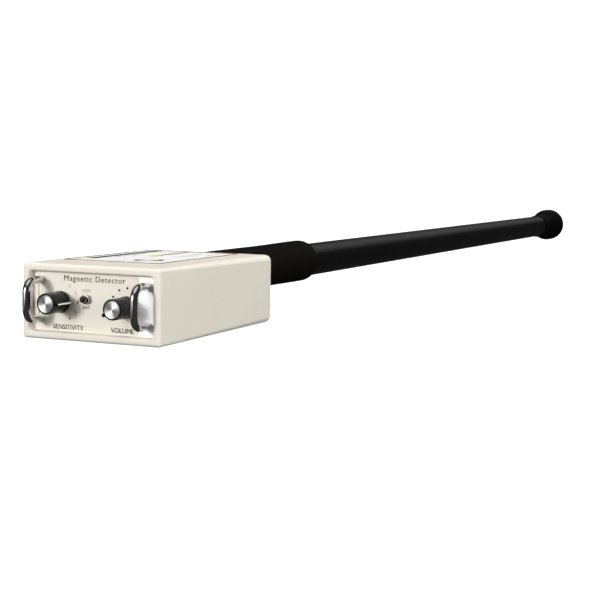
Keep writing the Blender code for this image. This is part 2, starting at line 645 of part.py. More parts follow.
def battery_door():
    """The hinged door beside the batteries; its origin is on the hinge's axis."""
    thickness = WALL - 0.15 * MM
    front = DOOR_FRONT_Y + GAP - HINGE_Y
    rear = -2.9 * MM
    height = DOOR_HEIGHT - 2 * GAP
    panel = upright_box("battery_door", (height, rear - front, thickness), RECESS_CORNER, 2)
    panel.data.transform(Matrix.Translation((0, (front + rear) / 2, WALL - thickness / 2 - HINGE_DEPTH)))
    door = place(panel, "cream_paint", (0, HINGE_Y, HINGE_DEPTH), parent=DOOR_FRAME)
    tongue = box("door_tongue", (HINGE_BARREL_LENGTH, 4.0 * MM, 1.3 * MM))
    join(door, guide(tongue, (0, -2.2 * MM, -1.1 * MM), parent=door))
    sideways = (1, 0, 0)
    barrel = rods("door_barrel", [((0, 0, 0), sideways, HINGE_BARREL, HINGE_BARREL_LENGTH)], 20)
    join(door, guide(barrel, parent=door))
    screw_y = DOOR_SCREW_Y - HINGE_Y
    holes = [((0, 0, 0), sideways, HINGE_BORE, 30 * MM),
             ((0, screw_y, -HINGE_DEPTH), (0, 0, 1), 1.8 * MM, 6 * MM)]
    cut(door, guide(rods("door_holes", holes, 16), parent=door))
    seat = rods("door_screw_seat", [((0, screw_y, -HINGE_DEPTH), (0, 0, 1), 3.9 * MM, 2.4 * MM)])
    cut(door, guide(seat, parent=door))
    pin = rods("door_hinge_pin", [((0, 0, 0), sideways, HINGE_PIN_RADIUS, HINGE_BARREL_LENGTH + 8 * MM)])
    place(pin, "plated_steel", (0, HINGE_Y, HINGE_DEPTH), parent=DOOR_FRAME)
    place(flat_head_screw("door_screw", 3.6 * MM, 0.7 * MM, 1.5 * MM, 5.4 * MM), "plated_steel",
          (0, DOOR_SCREW_Y, 0.2 * MM), parent=DOOR_FRAME)


def flat_head_screw(name, head_radius, head_height, shank_radius, length):
    """A screw that stands on its head, with a coin slot across the head's underside."""
    profile = [(0, length), (shank_radius, length), (shank_radius, head_height),
               (head_radius, head_height), (head_radius, 0), (0, 0)]
    screw = turned(name, profile, 16)
    slot = guide(box(name + "_slot", (2 * head_radius + MM, 0.8 * MM, 0.7 * MM)), parent=screw)
    cut(screw, slot)
    return screw


def circuit_board():
    half_x, half_y = BOARD_SIZE[0] / 2, BOARD_SIZE[1] / 2
    edge = rounded_rectangle((-half_x, -half_y), (half_x, half_y), MM)
    holes = []
    for x in STANDOFF_XS:
        for y in STANDOFF_YS:
            holes.append(circle((x - BOARD_X, y - BOARD_Y), 1.5 * MM, 12))
    place(plate("circuit_board", [edge, *holes], BOARD_SIZE[2]), "board_green",
          (BOARD_X, BOARD_Y, BOARD_Z))
    top = BOARD_Z + BOARD_SIZE[2] / 2 + GAP
    fittings = (("board_transformer", (14 * MM, 12 * MM, 9 * MM), (30 * MM, 46 * MM), "copper_winding"),
                ("board_amplifier_chip", (9 * MM, 20 * MM, 3.6 * MM), (10 * MM, 58 * MM), "black_plastic"),
                ("board_cable_socket", (12 * MM, 8 * MM, 6 * MM), (0, 103 * MM), "black_plastic"))
    for name, size, (x, y), finish in fittings:
        place(box(name, size, 0.5 * MM), finish, (x, y, top + size[2] / 2))


def board_standoffs():
    """Pillars from the housing's floor whose studs pass up through the board."""
    base, shoulder, stud_top = WALL + GAP, BOARD_Z - BOARD_SIZE[2] / 2 - GAP, BOARD_Z + 3 * MM
    stud = 1.1 * MM
    number = 1
    for x in STANDOFF_XS:
        for y in STANDOFF_YS:
            profile = [(0, stud_top), (stud, stud_top), (stud, shoulder), (STANDOFF_RADIUS, shoulder),
                       (STANDOFF_RADIUS, base), (0, base)]
            place(turned(f"board_standoff_{number}", profile, 12), "plated_steel", (x, y, 0))
            number += 1


def speaker():
    x = -HOUSING_WIDTH / 2 + WALL + GAP
    frame = [(0, -5.8 * MM), (5 * MM, -5.8 * MM), (12.2 * MM, -1.7 * MM), (12.8 * MM, 0),
             (SPEAKER_RADIUS, 0), (SPEAKER_RADIUS, -1.5 * MM), (8 * MM, -6.4 * MM), (8 * MM, -8 * MM),
             (0, -8 * MM)]
    cone = [(0, -3 * MM), (3.2 * MM, -3.6 * MM), (4.4 * MM, -4.4 * MM), (11.6 * MM, -0.6 * MM),
            (11.9 * MM, -1.1 * MM), (4.6 * MM, -5 * MM), (3 * MM, -4.4 * MM), (0, -3.8 * MM)]
    place(turned("speaker_frame", frame), "plated_steel", (x, SPEAKER_Y, SPEAKER_Z), FACING_LEFT)
    place(turned("speaker_cone", cone), "paper_cone", (x, SPEAKER_Y, SPEAKER_Z), FACING_LEFT)


def tube_saddle():
    """The block that the tube's end lies in, and the screws that hold it from below."""
    base_z = WALL + GAP
    saddle = place(box("tube_saddle", SADDLE_SIZE, 1.0 * MM, 1), "black_plastic",
                   (0, SADDLE_Y, base_z + SADDLE_SIZE[2] / 2))
    seat = rods("saddle_seat", [((0, SADDLE_Y, TUBE_Z), (0, 1, 0), SLEEVE_BORE, 2 * SADDLE_SIZE[1])], 48)
    cut(saddle, guide(seat))
    shank = 1.5 * MM
    up = (0, 0, 1)
    bores = [((side * SADDLE_SCREW_X, SADDLE_Y, base_z), up, shank + GAP, 20 * MM) for side in (-1, 1)]
    bores.append(((0, SADDLE_Y, base_z), up, shank + GAP, 40 * MM))
    bores.append(((0, SADDLE_Y, base_z), up, 3.2 * MM, 6 * MM))
    for index, bore in enumerate(bores):
        cut(saddle, guide(rods(f"saddle_bore_{index}", [bore])))
    for side, word in ((-1, "left"), (1, "right")):
        screw = flat_head_screw("saddle_screw_" + word, 3.1 * MM, 0.7 * MM, shank, 10 * MM)
        place(screw, "plated_steel", (side * SADDLE_SCREW_X, SADDLE_Y, 0.2 * MM))
    lock = flat_head_screw("tube_lock_screw", 2.8 * MM, 1.5 * MM, shank, 14.4 * MM)
    place(lock, "plated_steel", (0, SADDLE_Y, 3.4 * MM))


# Sensor tube

def locator_tube():
    length = TUBE_END_Y - TUBE_START_Y
    profile = [(TUBE_BORE, length), (TUBE_RADIUS, length), (TUBE_RADIUS, 0), (TUBE_BORE, 0)]
    tube = place(turned("locator_tube", profile, 36), "black_tube", (0, TUBE_START_Y, TUBE_Z), FACING_TIP)
    hole = rods("lock_screw_hole", [((0, SADDLE_Y, TUBE_Z - TUBE_RADIUS), (0, 0, 1), 1.8 * MM, 6 * MM)])
    cut(tube, guide(hole))


def grip_sleeve():
    """A long sleeve that swells towards its rounded shoulder."""
    shoulder_z = GRIP_LENGTH - GRIP_SHOULDER
    wall = GRIP_SHOULDER_RADIUS - SLEEVE_BORE
    dome = [(SLEEVE_BORE + wall * math.cos(a), shoulder_z + GRIP_SHOULDER * math.sin(a))
            for a in (math.radians(78 - 13 * i) for i in range(7))]
    profile = [(SLEEVE_BORE, dome[0][1]), *dome, (GRIP_RADIUS, shoulder_z - 80 * MM),
               (GRIP_RADIUS, 0.8 * MM), (GRIP_RADIUS - 0.8 * MM, 0), (SLEEVE_BORE, 0)]
    place(turned("grip_sleeve", profile, 36), "grip_rubber",
          (0, HOUSING_LENGTH + GAP, TUBE_Z), FACING_TIP)


def tip_cap():
    """A sleeve over the tube's end that flares into a round bumper.

    TIP_TAPER gives the flare as distances from the bumper's back face and radii, in millimetres.
    """
    body_base = TIP_LENGTH - TIP_THICKNESS
    front = arc((TIP_RADIUS - TIP_EDGE, TIP_LENGTH - TIP_EDGE), TIP_EDGE, 90, 0, 4)
    back = [(radius * MM, body_base + distance * MM) for distance, radius in TIP_TAPER]
    bore_end = TIP_LENGTH - (TIP_END_Y - TUBE_END_Y) + 0.5 * MM
    neck = TIP_SLEEVE_RADIUS - 0.5 * MM
    profile = [(0, TIP_LENGTH), *front, *back, (neck, body_base), (neck, body_base - 1.2 * MM),
               (TIP_SLEEVE_RADIUS, body_base - 1.7 * MM), (TIP_SLEEVE_RADIUS, 0.5 * MM),
               (TIP_SLEEVE_RADIUS - 0.4 * MM, 0), (SLEEVE_BORE, 0), (SLEEVE_BORE, bore_end), (0, bore_end)]
    place(turned("tip_cap", profile, 36), "tip_rubber", (0, TIP_END_Y - TIP_LENGTH, TUBE_Z), FACING_TIP)


def sensor(name, y):
    """A coil on a flanged bobbin that fits the tube, with a core along its axis."""
    half, flange, barrel, bore = 25 * MM, 4 * MM, 4 * MM, 1.9 * MM
    rim = TUBE_BORE - 0.45 * MM
    inner = half - flange
    profile = [(bore, half), (rim, half), (rim, inner), (barrel, inner), (barrel, -inner),
               (rim, -inner), (rim, -half), (bore, -half)]
    bobbin = place(turned(name + "_bobbin", profile, 16), "black_plastic", (0, y, TUBE_Z), FACING_TIP)
    notch_depth = 6 * MM
    notch = box(name + "_notch", (4.6 * MM, 3 * half, notch_depth))
    cut(bobbin, guide(notch, (0, y, TUBE_Z - 6.9 * MM - notch_depth / 2)))
    coil_half = inner - 0.5 * MM
    winding = [(barrel + GAP, coil_half), (6.4 * MM, coil_half), (6.4 * MM, -coil_half),
               (barrel + GAP, -coil_half)]
    place(turned(name + "_coil", winding, 16), "copper_winding", (0, y, TUBE_Z), FACING_TIP)
    core = rods(name + "_core", [((0, 0, 0), (0, 0, 1), 1.5 * MM, 2 * half + 6 * MM)])
    place(core, "plated_steel", (0, y, TUBE_Z), FACING_TIP)


def sensor_cable():
    """The cable from the board's socket down into the tube and along it to both coils."""
    start_y, start_z = 107.6 * MM, 29.0 * MM
    low_y, low_z = 160.0 * MM, TUBE_Z - CABLE_DROP
    end_y = FRONT_SENSOR_Y - 8 * MM
    steps = 14
    route = []
    for i in range(steps + 1):
        share = i / steps
        ease = share * share * (3 - 2 * share)
        route.append((0, start_y + (low_y - start_y) * share, start_z + (low_z - start_z) * ease))
    route.append((0, end_y, low_z))
    place(wire("sensor_cable", route, CABLE_RADIUS), "cable_jacket", (0, 0, 0))


housing_shell()
front_panel()
panel_overlay()
top_label()
guard_handle("handle_left", -1)
guard_handle("handle_right", 1)
dial("sensitivity", SENSITIVITY_PLACE, SENSITIVITY_POINTER, 9.0 * MM, 13.0 * MM, "rotary_switch")
dial("volume", VOLUME_PLACE, VOLUME_POINTER, 8.0 * MM, 10.0 * MM, "volume_control")
low_battery_lamp()
battery_bay()
battery_door()
circuit_board()
board_standoffs()
speaker()
locator_tube()
tube_saddle()
grip_sleeve()
tip_cap()
sensor("rear_sensor", FRONT_SENSOR_Y - SENSOR_SPACING)
sensor("front_sensor", FRONT_SENSOR_Y)
sensor_cable()
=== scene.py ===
"""Looks for the handheld magnetic locator: a boxed control head with two dials and two
guard handles, a long sensor tube with a grip sleeve, and a rubber tip.

Metres, +Z up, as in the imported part: the control panel faces -Y and the tube runs along +Y.
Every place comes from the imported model's own nodes. Sizes are in millimetres times MM, and plain
millimetres in the label's tables and in the materials.
"""

import math

import bmesh
import bpy
from mathutils import Matrix, Vector


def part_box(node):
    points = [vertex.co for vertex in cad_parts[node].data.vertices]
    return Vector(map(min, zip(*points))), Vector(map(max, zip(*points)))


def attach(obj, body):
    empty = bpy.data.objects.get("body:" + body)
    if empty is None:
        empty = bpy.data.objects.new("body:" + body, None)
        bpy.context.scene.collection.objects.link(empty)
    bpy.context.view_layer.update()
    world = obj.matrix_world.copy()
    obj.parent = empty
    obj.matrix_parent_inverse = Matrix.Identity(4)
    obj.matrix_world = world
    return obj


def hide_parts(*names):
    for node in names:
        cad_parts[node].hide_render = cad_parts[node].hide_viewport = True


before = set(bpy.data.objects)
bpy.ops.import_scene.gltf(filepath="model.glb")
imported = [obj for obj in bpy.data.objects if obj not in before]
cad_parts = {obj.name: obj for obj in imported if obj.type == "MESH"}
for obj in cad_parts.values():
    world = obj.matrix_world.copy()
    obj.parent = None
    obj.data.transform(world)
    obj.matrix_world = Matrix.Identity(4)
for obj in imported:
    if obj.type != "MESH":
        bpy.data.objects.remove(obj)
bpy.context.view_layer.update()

MM = 0.001
GAP = 0.3 * MM  # the CAD's clearance between pieces that rest on each other
SEAM = 0.01 * MM  # what is left of it where pieces are seen to touch


class Node:
    """Where a CAD node lies: its lowest and highest corners, its middle and its size."""

    def __init__(self, name):
        self.low, self.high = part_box(name)
        self.middle = (self.low + self.high) / 2
        self.size = self.high - self.low


HOUSING = Node("housing_shell")
PANEL = Node("front_panel")
OVERLAY = Node("panel_overlay")
LABEL = Node("top_label")
DOOR = Node("battery_door")
TUBE = Node("locator_tube")
GRIP = Node("grip_sleeve")
TIP = Node("tip_cap")
BEZEL = Node("lamp_bezel")
LENS = Node("lamp_lens")
SPEAKER = Node("speaker_frame")
HINGE_PIN = Node("door_hinge_pin")
DOOR_SCREW = Node("door_screw")
SADDLE_SCREWS = (Node("saddle_screw_left"), Node("saddle_screw_right"))
LOCK_SCREW = Node("tube_lock_screw")
HANDLES = ("handle_left", "handle_right")
FRONT_Y = HOUSING.low.y
FILM_THICKNESS = 0.2 * MM
FILM_FRONT = PANEL.low.y - FILM_THICKNESS
REAR_Y = HOUSING.high.y
TUBE_AXIS_X, TUBE_AXIS_Z = TUBE.middle.x, TUBE.middle.z

# Housing
WALL = 2.0 * MM
REAR_WALL = 3.0 * MM
LONG_EDGE = 2.0 * MM
REAR_EDGE = 5.0 * MM
REAR_CORNER = 4.2 * MM  # the long edges widen to this towards the rear
LEAST_REAR_CORNER = 1.2 * MM
FRONT_EDGE = 2.0 * MM
LIP_WIDTH = 4.7 * MM
LIP_EDGE = 1.4 * MM
RECESS_CORNER = 2.0 * MM
FLANGE_THICKNESS = 3.2 * MM
FLANGE_OPENING = (63.0 * MM, 32.0 * MM)
CAVITY_TOP = 42.6 * MM
GRILLE_HOLE = 1.1 * MM
GRILLE_PITCH = 4.2 * MM
DOOR_OPENING = (73.0 * MM, 35.0 * MM)
HINGE_BARREL = 1.9 * MM
HINGE_BARREL_LENGTH = 14.0 * MM
HINGE_BORE = 1.1 * MM
HINGE_BORE_REACH = 15.0 * MM
SCREW_HOLE = 1.9 * MM
LOCK_SCREW_ACCESS = 3.2 * MM
SEAT_DEPTH = 1.2 * MM

# Dials and handles
ROD_RADIUS = 2.38 * MM
HANDLE_BEND = 6.75 * MM
KNOB_RADIUS = 6.05 * MM
KNOB_SKIRT_RADIUS = 6.4 * MM
KNOB_SKIRT = 1.7 * MM
KNOB_CLEARANCE = 5.0 * MM
POINTER_REACH = 8.0 * MM
POINTER_WIDTH = 2.0 * MM
POINTERS = {"sensitivity": math.radians(0), "volume": math.radians(210)}  # where they point at rest
SHAFT_HOLE = 3.4 * MM
BEZEL_HOLE = 2.6 * MM

# Print
INK_THICKNESS = 0.04 * MM
TEXT_SCALE = 1.38  # a font's size over the height of its capitals
STRIKE = 0.06 * MM  # how far each of the two strikes of the lettering is shifted
DIAL_SCALE_RADIUS = 10.9 * MM
DIAL_STEP = 30  # degrees between two marks of a dial
FIRST_NUMBER = 90  # degrees anticlockwise from the right
FIRST_DOT = 150
DOT_RADIUS = 0.72 * MM
LABEL_FRAME = 0.45 * MM
LABEL_DASH_GAP = 0.7  # this and the rest of the label's sizes are in millimetres
ARROW_HALF_WIDTH = 4.5

# Each row of print on the label: how far right of the middle it lies, where it starts and ends
# behind the housing's front, its width, its ink and the lengths of its dashes
LABEL_RULES = {
    "label_title_rule": (-31.5, 50, 134.5, 6.0, "navy", (11, 7, 15, 9, 6, 13)),
    "label_grey_rule_left": (-25.0, 68, 105, 1.4, "grey", (17, 9)),
    "label_grey_rule_middle": (7.0, 52, 61, 1.4, "grey", (9,)),
    "label_grey_rule_right": (8.5, 87, 122, 1.6, "grey", (13, 8, 19)),
    "label_grey_rule_edge": (18.0, 106, 127, 1.6, "grey", (11, 9)),
    "label_black_rule": (-9.2, 96, 134.5, 3.2, "brown", (8, 12, 6)),
    "label_yellow_block": (-8.8, 84, 95, 7.0, "yellow", (11,)),
}
# Each arrow on the label: how far right of the middle, and where its tip and its tail lie
LABEL_ARROWS = {"label_arrow_front": (2, 45, 56), "label_arrow_rear": (12, 65, 54)}

# Studio: directions are degrees to the right of the panel's own and degrees up
ROOM_LIGHT = 0.04
# Patches of light in the world: direction, the angles inside which each is full and outside
# which it is gone, and its strength
WORLD_PATCHES = (
    (-20, 14, 9, 23, 4.6),  # the softbox that the dials and the chrome mirror
    (-58, 0, 4, 18, 0.4),  # a weak one for the handles' sides
    (178, 31, 6, 22, 0.45),  # behind the tip, for the tube's top
    (20, 75, 10, 40, 0.8),  # overhead
)
# Area lights: direction, distance and size in metres, power in watts
AREA_LIGHTS = {
    "key_light": (-24, 12, 1.6, 0.3, 15),
    "fill_light": (52, 6, 1.6, 0.8, 5),
    "side_light": (84, 14, 1.5, 1.0, 18.5),
    "top_light": (160, 70, 1.5, 1.0, 16),
}
SURROUND_RADIUS = 38
CAMERA_PLACE = (423.1 * MM, FRONT_Y - 655.7 * MM, 104.6 * MM)
CAMERA_ANGLES = (-0.4176, 0.1009, 0.0152)  # yaw, pitch and roll, in radians
CAMERA_LENS, CAMERA_SENSOR = 81, 36  # millimetres

FACING_FRONT = Matrix.Rotation(math.radians(90), 4, "X")  # local +Z points to -Y
FACING_TIP = Matrix.Rotation(math.radians(-90), 4, "X")  # local +Z points to +Y


# Ways of making shapes

def collect(name, mesh):
    obj = bpy.data.objects.new(name, mesh)
    bpy.context.scene.collection.objects.link(obj)
    return obj


def from_bmesh(name, bm):
    bmesh.ops.recalc_face_normals(bm, faces=bm.faces)
    mesh = bpy.data.meshes.new(name)
    bm.to_mesh(mesh)
    bm.free()
    return collect(name, mesh)


def full_turn(count):
    """This many angles, in radians, that go once round."""
    return [2 * math.pi * i / count for i in range(count)]


def quarter_turn(steps):
    return [math.radians(90 * i / steps) for i in range(steps + 1)]


def loft(name, rings):
    """A closed solid through rings with the same number of points, capped at both ends."""
    bm = bmesh.new()
    loops = [[bm.verts.new(point) for point in ring] for ring in rings]
    for near, far in zip(loops, loops[1:]):
        for i in range(len(near)):
            j = (i + 1) % len(near)
            bm.faces.new((near[i], near[j], far[j], far[i]))
    bm.faces.new(loops[0])
    bm.faces.new(loops[-1])
    return from_bmesh(name, bm)


def turned(name, profile, steps=96):
    """A solid turned about local Z. A profile that starts off the axis is closed into a ring."""
    bm = bmesh.new()
    rings = []
    for radius, height in profile:
        if radius < 1e-7:
            rings.append([bm.verts.new((0, 0, height))])
            continue
        places = [(radius * math.cos(a), radius * math.sin(a), height) for a in full_turn(steps)]
        rings.append([bm.verts.new(place) for place in places])
    pairs = list(zip(rings, rings[1:]))
    if len(rings[0]) > 1:
        pairs.append((rings[-1], rings[0]))
    for near, far in pairs:
        for i in range(steps):
            j = (i + 1) % steps
            corners = [near[i % len(near)], near[j % len(near)], far[j % len(far)], far[i % len(far)]]
            bm.faces.new(list(dict.fromkeys(corners)))
    return from_bmesh(name, bm)


def soften(points, closed=False, steps=6):
    """An outline whose corners with a third value, a radius, are rounded to it."""
    outline = []
    count = len(points)
    for i, (x, y, *radius) in enumerate(points):
        corner = Vector((x, y))
        at_end = not closed and i in (0, count - 1)
        if at_end or not radius:
            outline.append(corner)
            continue
        before = (Vector(points[i - 1][:2]) - corner).normalized()
        after = (Vector(points[(i + 1) % count][:2]) - corner).normalized()
        half = before.angle(after) / 2
        middle = corner + (before + after).normalized() * radius[0] / math.sin(half)
        start = corner + before * radius[0] / math.tan(half) - middle
        end = corner + after * radius[0] / math.tan(half) - middle
        first = math.atan2(start.y, start.x)
        sweep = (math.atan2(end.y, end.x) - first + math.pi) % (2 * math.pi) - math.pi
        for k in range(steps + 1):
            angle = first + sweep * k / steps
            outline.append(middle + radius[0] * Vector((math.cos(angle), math.sin(angle))))
    return outline


def circle(middle, radius, count=48):
    return [Vector((middle[0] + radius * math.cos(a), middle[1] + radius * math.sin(a)))
            for a in full_turn(count)]


def rectangle(middle, size, radius, steps=8):
    """A rectangle with round corners, anticlockwise from its right-hand top corner."""
    half_x, half_y = size[0] / 2, size[1] / 2
    signs = ((1, 1), (-1, 1), (-1, -1), (1, -1))
    corners = [(middle[0] + sx * half_x, middle[1] + sy * half_y, radius) for sx, sy in signs]
    return soften(corners, closed=True, steps=steps)


def baked(obj):
    """The object with its modifiers applied, or its curve turned into a welded mesh."""
    mesh = bpy.data.meshes.new_from_object(obj.evaluated_get(bpy.context.evaluated_depsgraph_get()))
    name, matrix = obj.name, obj.matrix_world.copy()
    bpy.data.objects.remove(obj)
    bm = bmesh.new()
    bm.from_mesh(mesh)
    bmesh.ops.remove_doubles(bm, verts=bm.verts, dist=0.002 * MM)
    bm.to_mesh(mesh)
    bm.free()
    solid = collect(name, mesh)
    mesh.transform(matrix)
    return solid


def plate(name, loops, thickness, bevel=0.0, bevel_steps=2):
    """A flat plate about its mid-plane: the first loop is its edge, the others are holes."""
    curve = bpy.data.curves.new(name, "CURVE")
    curve.dimensions = "2D"
    curve.fill_mode = "BOTH"
    curve.bevel_depth = bevel
    curve.bevel_resolution = bevel_steps
    curve.offset = -bevel
    curve.extrude = thickness / 2 - bevel
    for number, loop in enumerate(loops):
        spline = curve.splines.new("POLY")
        spline.points.add(len(loop) - 1)
        ordered = loop if number == 0 else loop[::-1]
        for point, (x, y) in zip(spline.points, ordered):
            point.co = (x, y, 0, 1)
        spline.use_cyclic_u = True
    return baked(collect(name, curve))


def lettering(name, words, size, spacing=1.0):
    """Raised lettering, one word at each place, struck twice a little apart to thicken it."""
    parts = []
    strikes = [(text, x + shift, y) for text, (x, y) in words for shift in (-STRIKE, STRIKE)]
    for text, x, y in strikes:
        curve = bpy.data.curves.new(name, "FONT")
        curve.body = text
        curve.size = size
        curve.align_x = "CENTER"
        curve.align_y = "CENTER"
        curve.space_character = spacing
        curve.extrude = INK_THICKNESS / 2
        curve.resolution_u = 3
        part = collect(name, curve)
        part.location = (x, y, 0)
        bpy.context.view_layer.update()
        parts.append(baked(part))
    return merged(name, parts)


def merged(name, parts):
    """Several solids as one mesh, without joining their faces."""
    bm = bmesh.new()
    for part in parts:
        bm.from_mesh(part.data)
        bpy.data.objects.remove(part)
    return from_bmesh(name, bm)


def cylinder(name, start, end, radius, steps=48):
    """A plain rod between two points, used to cut or to build up other shapes."""
    start, end = Vector(start), Vector(end)
    turn = (end - start).to_track_quat("Z", "Y").to_matrix().to_4x4()
    bm = bmesh.new()
    bmesh.ops.create_cone(bm, cap_ends=True, segments=steps, radius1=radius, radius2=radius,
                          depth=(end - start).length, matrix=Matrix.Translation((start + end) / 2) @ turn)
    return from_bmesh(name, bm)


def rod_along(axis, name, place, start, end, radius, steps=48):
    """A plain rod along an axis, 0 to 2, through a place, between two of that axis's coordinates."""
    near, far = Vector(place), Vector(place)
    near[axis], far[axis] = start, end
    return cylinder(name, near, far, radius, steps)


def screw_seat(radius, edge, steps):
    """A cutter for a screw's seat, sunk along local +Z, with a slope from the face to its edge."""
    return turned("screw_seat", [(0, -MM), (radius + 0.2 * MM, -MM), (radius, edge), (radius, SEAT_DEPTH),
                                 (0, SEAT_DEPTH)], steps)


def block(name, low, high, radius=0.0, axis=2, edge=0.0):
    """A box between two corners, with its edges along one axis rounded and the rest bevelled."""
    low, high = Vector(low), Vector(high)
    order = {0: (1, 2), 1: (2, 0), 2: (0, 1)}[axis]
    middle, size = (low + high) / 2, high - low
    edge_loop = rectangle((0, 0), (size[order[0]], size[order[1]]), max(radius, 0.01 * MM), 5)
    solid = plate(name, [edge_loop], size[axis], edge)
    columns = [Vector((0, 0, 0)) for _ in range(3)]
    columns[0][order[0]] = columns[1][order[1]] = columns[2][axis] = 1
    turn = Matrix(columns).transposed().to_4x4()
    solid.data.transform(Matrix.Translation(middle) @ turn)
    return solid


def combine(target, tools, operation):
    """The target after a boolean with every tool; the tools are used up."""
    for tool in tools:
        modifier = target.modifiers.new(operation, "BOOLEAN")
        modifier.operation = operation
        modifier.object = tool
        modifier.solver = "EXACT"
    solid = baked(target)
    for tool in tools:
        bpy.data.objects.remove(tool)
    return solid


def sweep(name, path, radius, steps=40):
    """A round rod along a path that lies in the plane of Y and Z."""
    rings = []
    for i, point in enumerate(path):
        ahead = path[min(i + 1, len(path) - 1)] - path[max(i - 1, 0)]
        across = Vector((0, -ahead.z, ahead.y)).normalized()
        ways = [math.cos(a) * Vector((1, 0, 0)) + math.sin(a) * across for a in full_turn(steps)]
        rings.append([point + radius * way for way in ways])
    return loft(name, rings)


def placed(obj, location, turn=Matrix.Identity(4)):
    obj.data.transform(Matrix.Translation(location) @ turn)
    return obj


def finish_piece(obj, body, slot, replaced=(), material=None, sharp=30, weighted=False):
    """Shade a piece, give it its slot's material or another, and tie it to the CAD."""
    obj.data.materials.clear()
    obj.data.materials.append(material or MATERIALS[slot])
    obj.data.shade_smooth()
    obj.data.set_sharp_from_angle(angle=math.radians(sharp))
    if weighted:
        normals = obj.modifiers.new("Flat faces stay flat", "WEIGHTED_NORMAL")
        normals.keep_sharp = True
    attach(obj, body)
    if replaced:
        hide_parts(*replaced)
    return obj


# Materials

def linear(channel):
    """The linear value of one sRGB channel, from 0 to 255."""
    share = channel / 255
    if share <= 0.04045:
        return share / 12.92
    return ((share + 0.055) / 1.055) ** 2.4


def colour(red, green, blue):
    return (linear(red), linear(green), linear(blue), 1)


class Nodes:
    """Shader nodes added to one tree."""

    def __init__(self, tree):
        self.tree = tree

    def give(self, socket, value):
        """Link another node's output to a socket, or set it to a plain value."""
        if isinstance(value, bpy.types.NodeSocket):
            self.tree.links.new(value, socket)
        else:
            socket.default_value = value

    def node(self, kind, inputs=None, **settings):
        node = self.tree.nodes.new(kind)
        for key, value in settings.items():
            setattr(node, key, value)
        for key, value in (inputs or {}).items():
            self.give(node.inputs[key], value)
        return node

    def math(self, operation, first, second):
        return self.node("ShaderNodeMath", {0: first, 1: second}, operation=operation).outputs[0]


class Finish(Nodes):
    """A procedural material, built up step by step. Its sizes and depths are in millimetres."""

    def __init__(self, name, base, roughness, metallic=0.0):
        self.material = bpy.data.materials.new(name)
        self.material.use_nodes = True
        super().__init__(self.material.node_tree)
        self.shader = self.tree.nodes["Principled BSDF"]
        self.set("Roughness", roughness)
        self.set("Metallic", metallic)
        self.set("Base Color", base)
        self.roughness = roughness
        self.place = self.node("ShaderNodeTexCoord").outputs["Object"]
        self.tint = base
        self.bumps = None

    def set(self, name, value):
        self.give(self.shader.inputs[name], value)

    def noise(self, size, detail=3):
        """Noise whose spots are about this size."""
        inputs = {"Vector": self.place, "Scale": 1 / (size * MM), "Detail": detail}
        return self.node("ShaderNodeTexNoise", inputs).outputs["Fac"]

    def ramp(self, value, low, high, start=0.0, end=1.0):
        """The value spread from low..high to start..end."""
        return self.node("ShaderNodeMapRange", {"Value": value, "From Min": low, "From Max": high,
                                                "To Min": start, "To Max": end}).outputs["Result"]

    def blend_colour(self, amount, other):
        """Mix another colour over what is there."""
        mix = self.node("ShaderNodeMix", {"Factor": amount}, data_type="RGBA")
        sockets = [socket for socket in mix.inputs if socket.type == "RGBA"]
        for socket, value in zip(sockets, (self.tint, other)):
            self.give(socket, value)
        self.tint = next(socket for socket in mix.outputs if socket.type == "RGBA")
        self.set("Base Color", self.tint)

    def mottle(self, size, other, amount, detail=3):
        """Soft patches of another colour."""
        self.blend_colour(self.ramp(self.noise(size, detail), 0.35, 0.65, 0.0, amount), other)

    def uneven_gloss(self, size, spread):
        low, high = self.roughness - spread, self.roughness + spread
        self.set("Roughness", self.ramp(self.noise(size), 0.3, 0.7, low, high))

    def bump(self, height, depth):
        """Add a bump to those already there."""
        inputs = {"Height": height, "Distance": depth * MM, "Strength": 1.0}
        if self.bumps is not None:
            inputs["Normal"] = self.bumps
        self.bumps = self.node("ShaderNodeBump", inputs).outputs["Normal"]
        self.set("Normal", self.bumps)

    def grain(self, size, depth, detail=3):
        self.bump(self.noise(size, detail), depth)

    def worn_edges(self, radius, other, amount):
        """A worn colour where the surface turns sharply, broken up by noise."""
        bevel = self.node("ShaderNodeBevel", {"Radius": radius * MM}, samples=4)
        normal = self.node("ShaderNodeNewGeometry").outputs["Normal"]
        turn = self.node("ShaderNodeVectorMath", {0: bevel.outputs["Normal"], 1: normal},
                         operation="DOT_PRODUCT").outputs["Value"]
        edge = self.ramp(turn, 0.985, 0.9, 0.0, amount)
        broken = self.ramp(self.noise(1.2, detail=4), 0.45, 0.6)
        self.blend_colour(self.math("MULTIPLY", edge, broken), other)


def cream_paint():
    paint = Finish("cream_powder_coat", colour(221, 216, 204), 0.5)
    paint.mottle(35, colour(216, 210, 196), 0.55)
    paint.mottle(1.1, colour(211, 205, 191), 0.35, detail=5)
    paint.uneven_gloss(6, 0.06)
    paint.grain(0.9, 0.012, detail=2)
    paint.grain(0.25, 0.004, detail=1)
    paint.worn_edges(0.35, colour(196, 188, 170), 0.5)
    return paint


def panel_paint():
    """The panel's own paint: as cream as its film, and bare white to the right of it."""
    paint = Finish("panel_paint", colour(224, 219, 207), 0.42)
    paint.mottle(20, colour(219, 213, 200), 0.5)
    across = paint.node("ShaderNodeSeparateXYZ", {0: paint.place}).outputs["X"]
    paint.blend_colour(paint.ramp(across, OVERLAY.high.x - 0.1 * MM, OVERLAY.high.x), colour(250, 248, 251))
    paint.uneven_gloss(5, 0.05)
    paint.grain(0.6, 0.008, detail=2)
    return paint


def overlay_film():
    film = Finish("overlay_film", colour(224, 219, 207), 0.42)
    film.mottle(25, colour(219, 213, 200), 0.5)
    film.uneven_gloss(4, 0.05)
    film.grain(0.35, 0.004, detail=2)
    return film


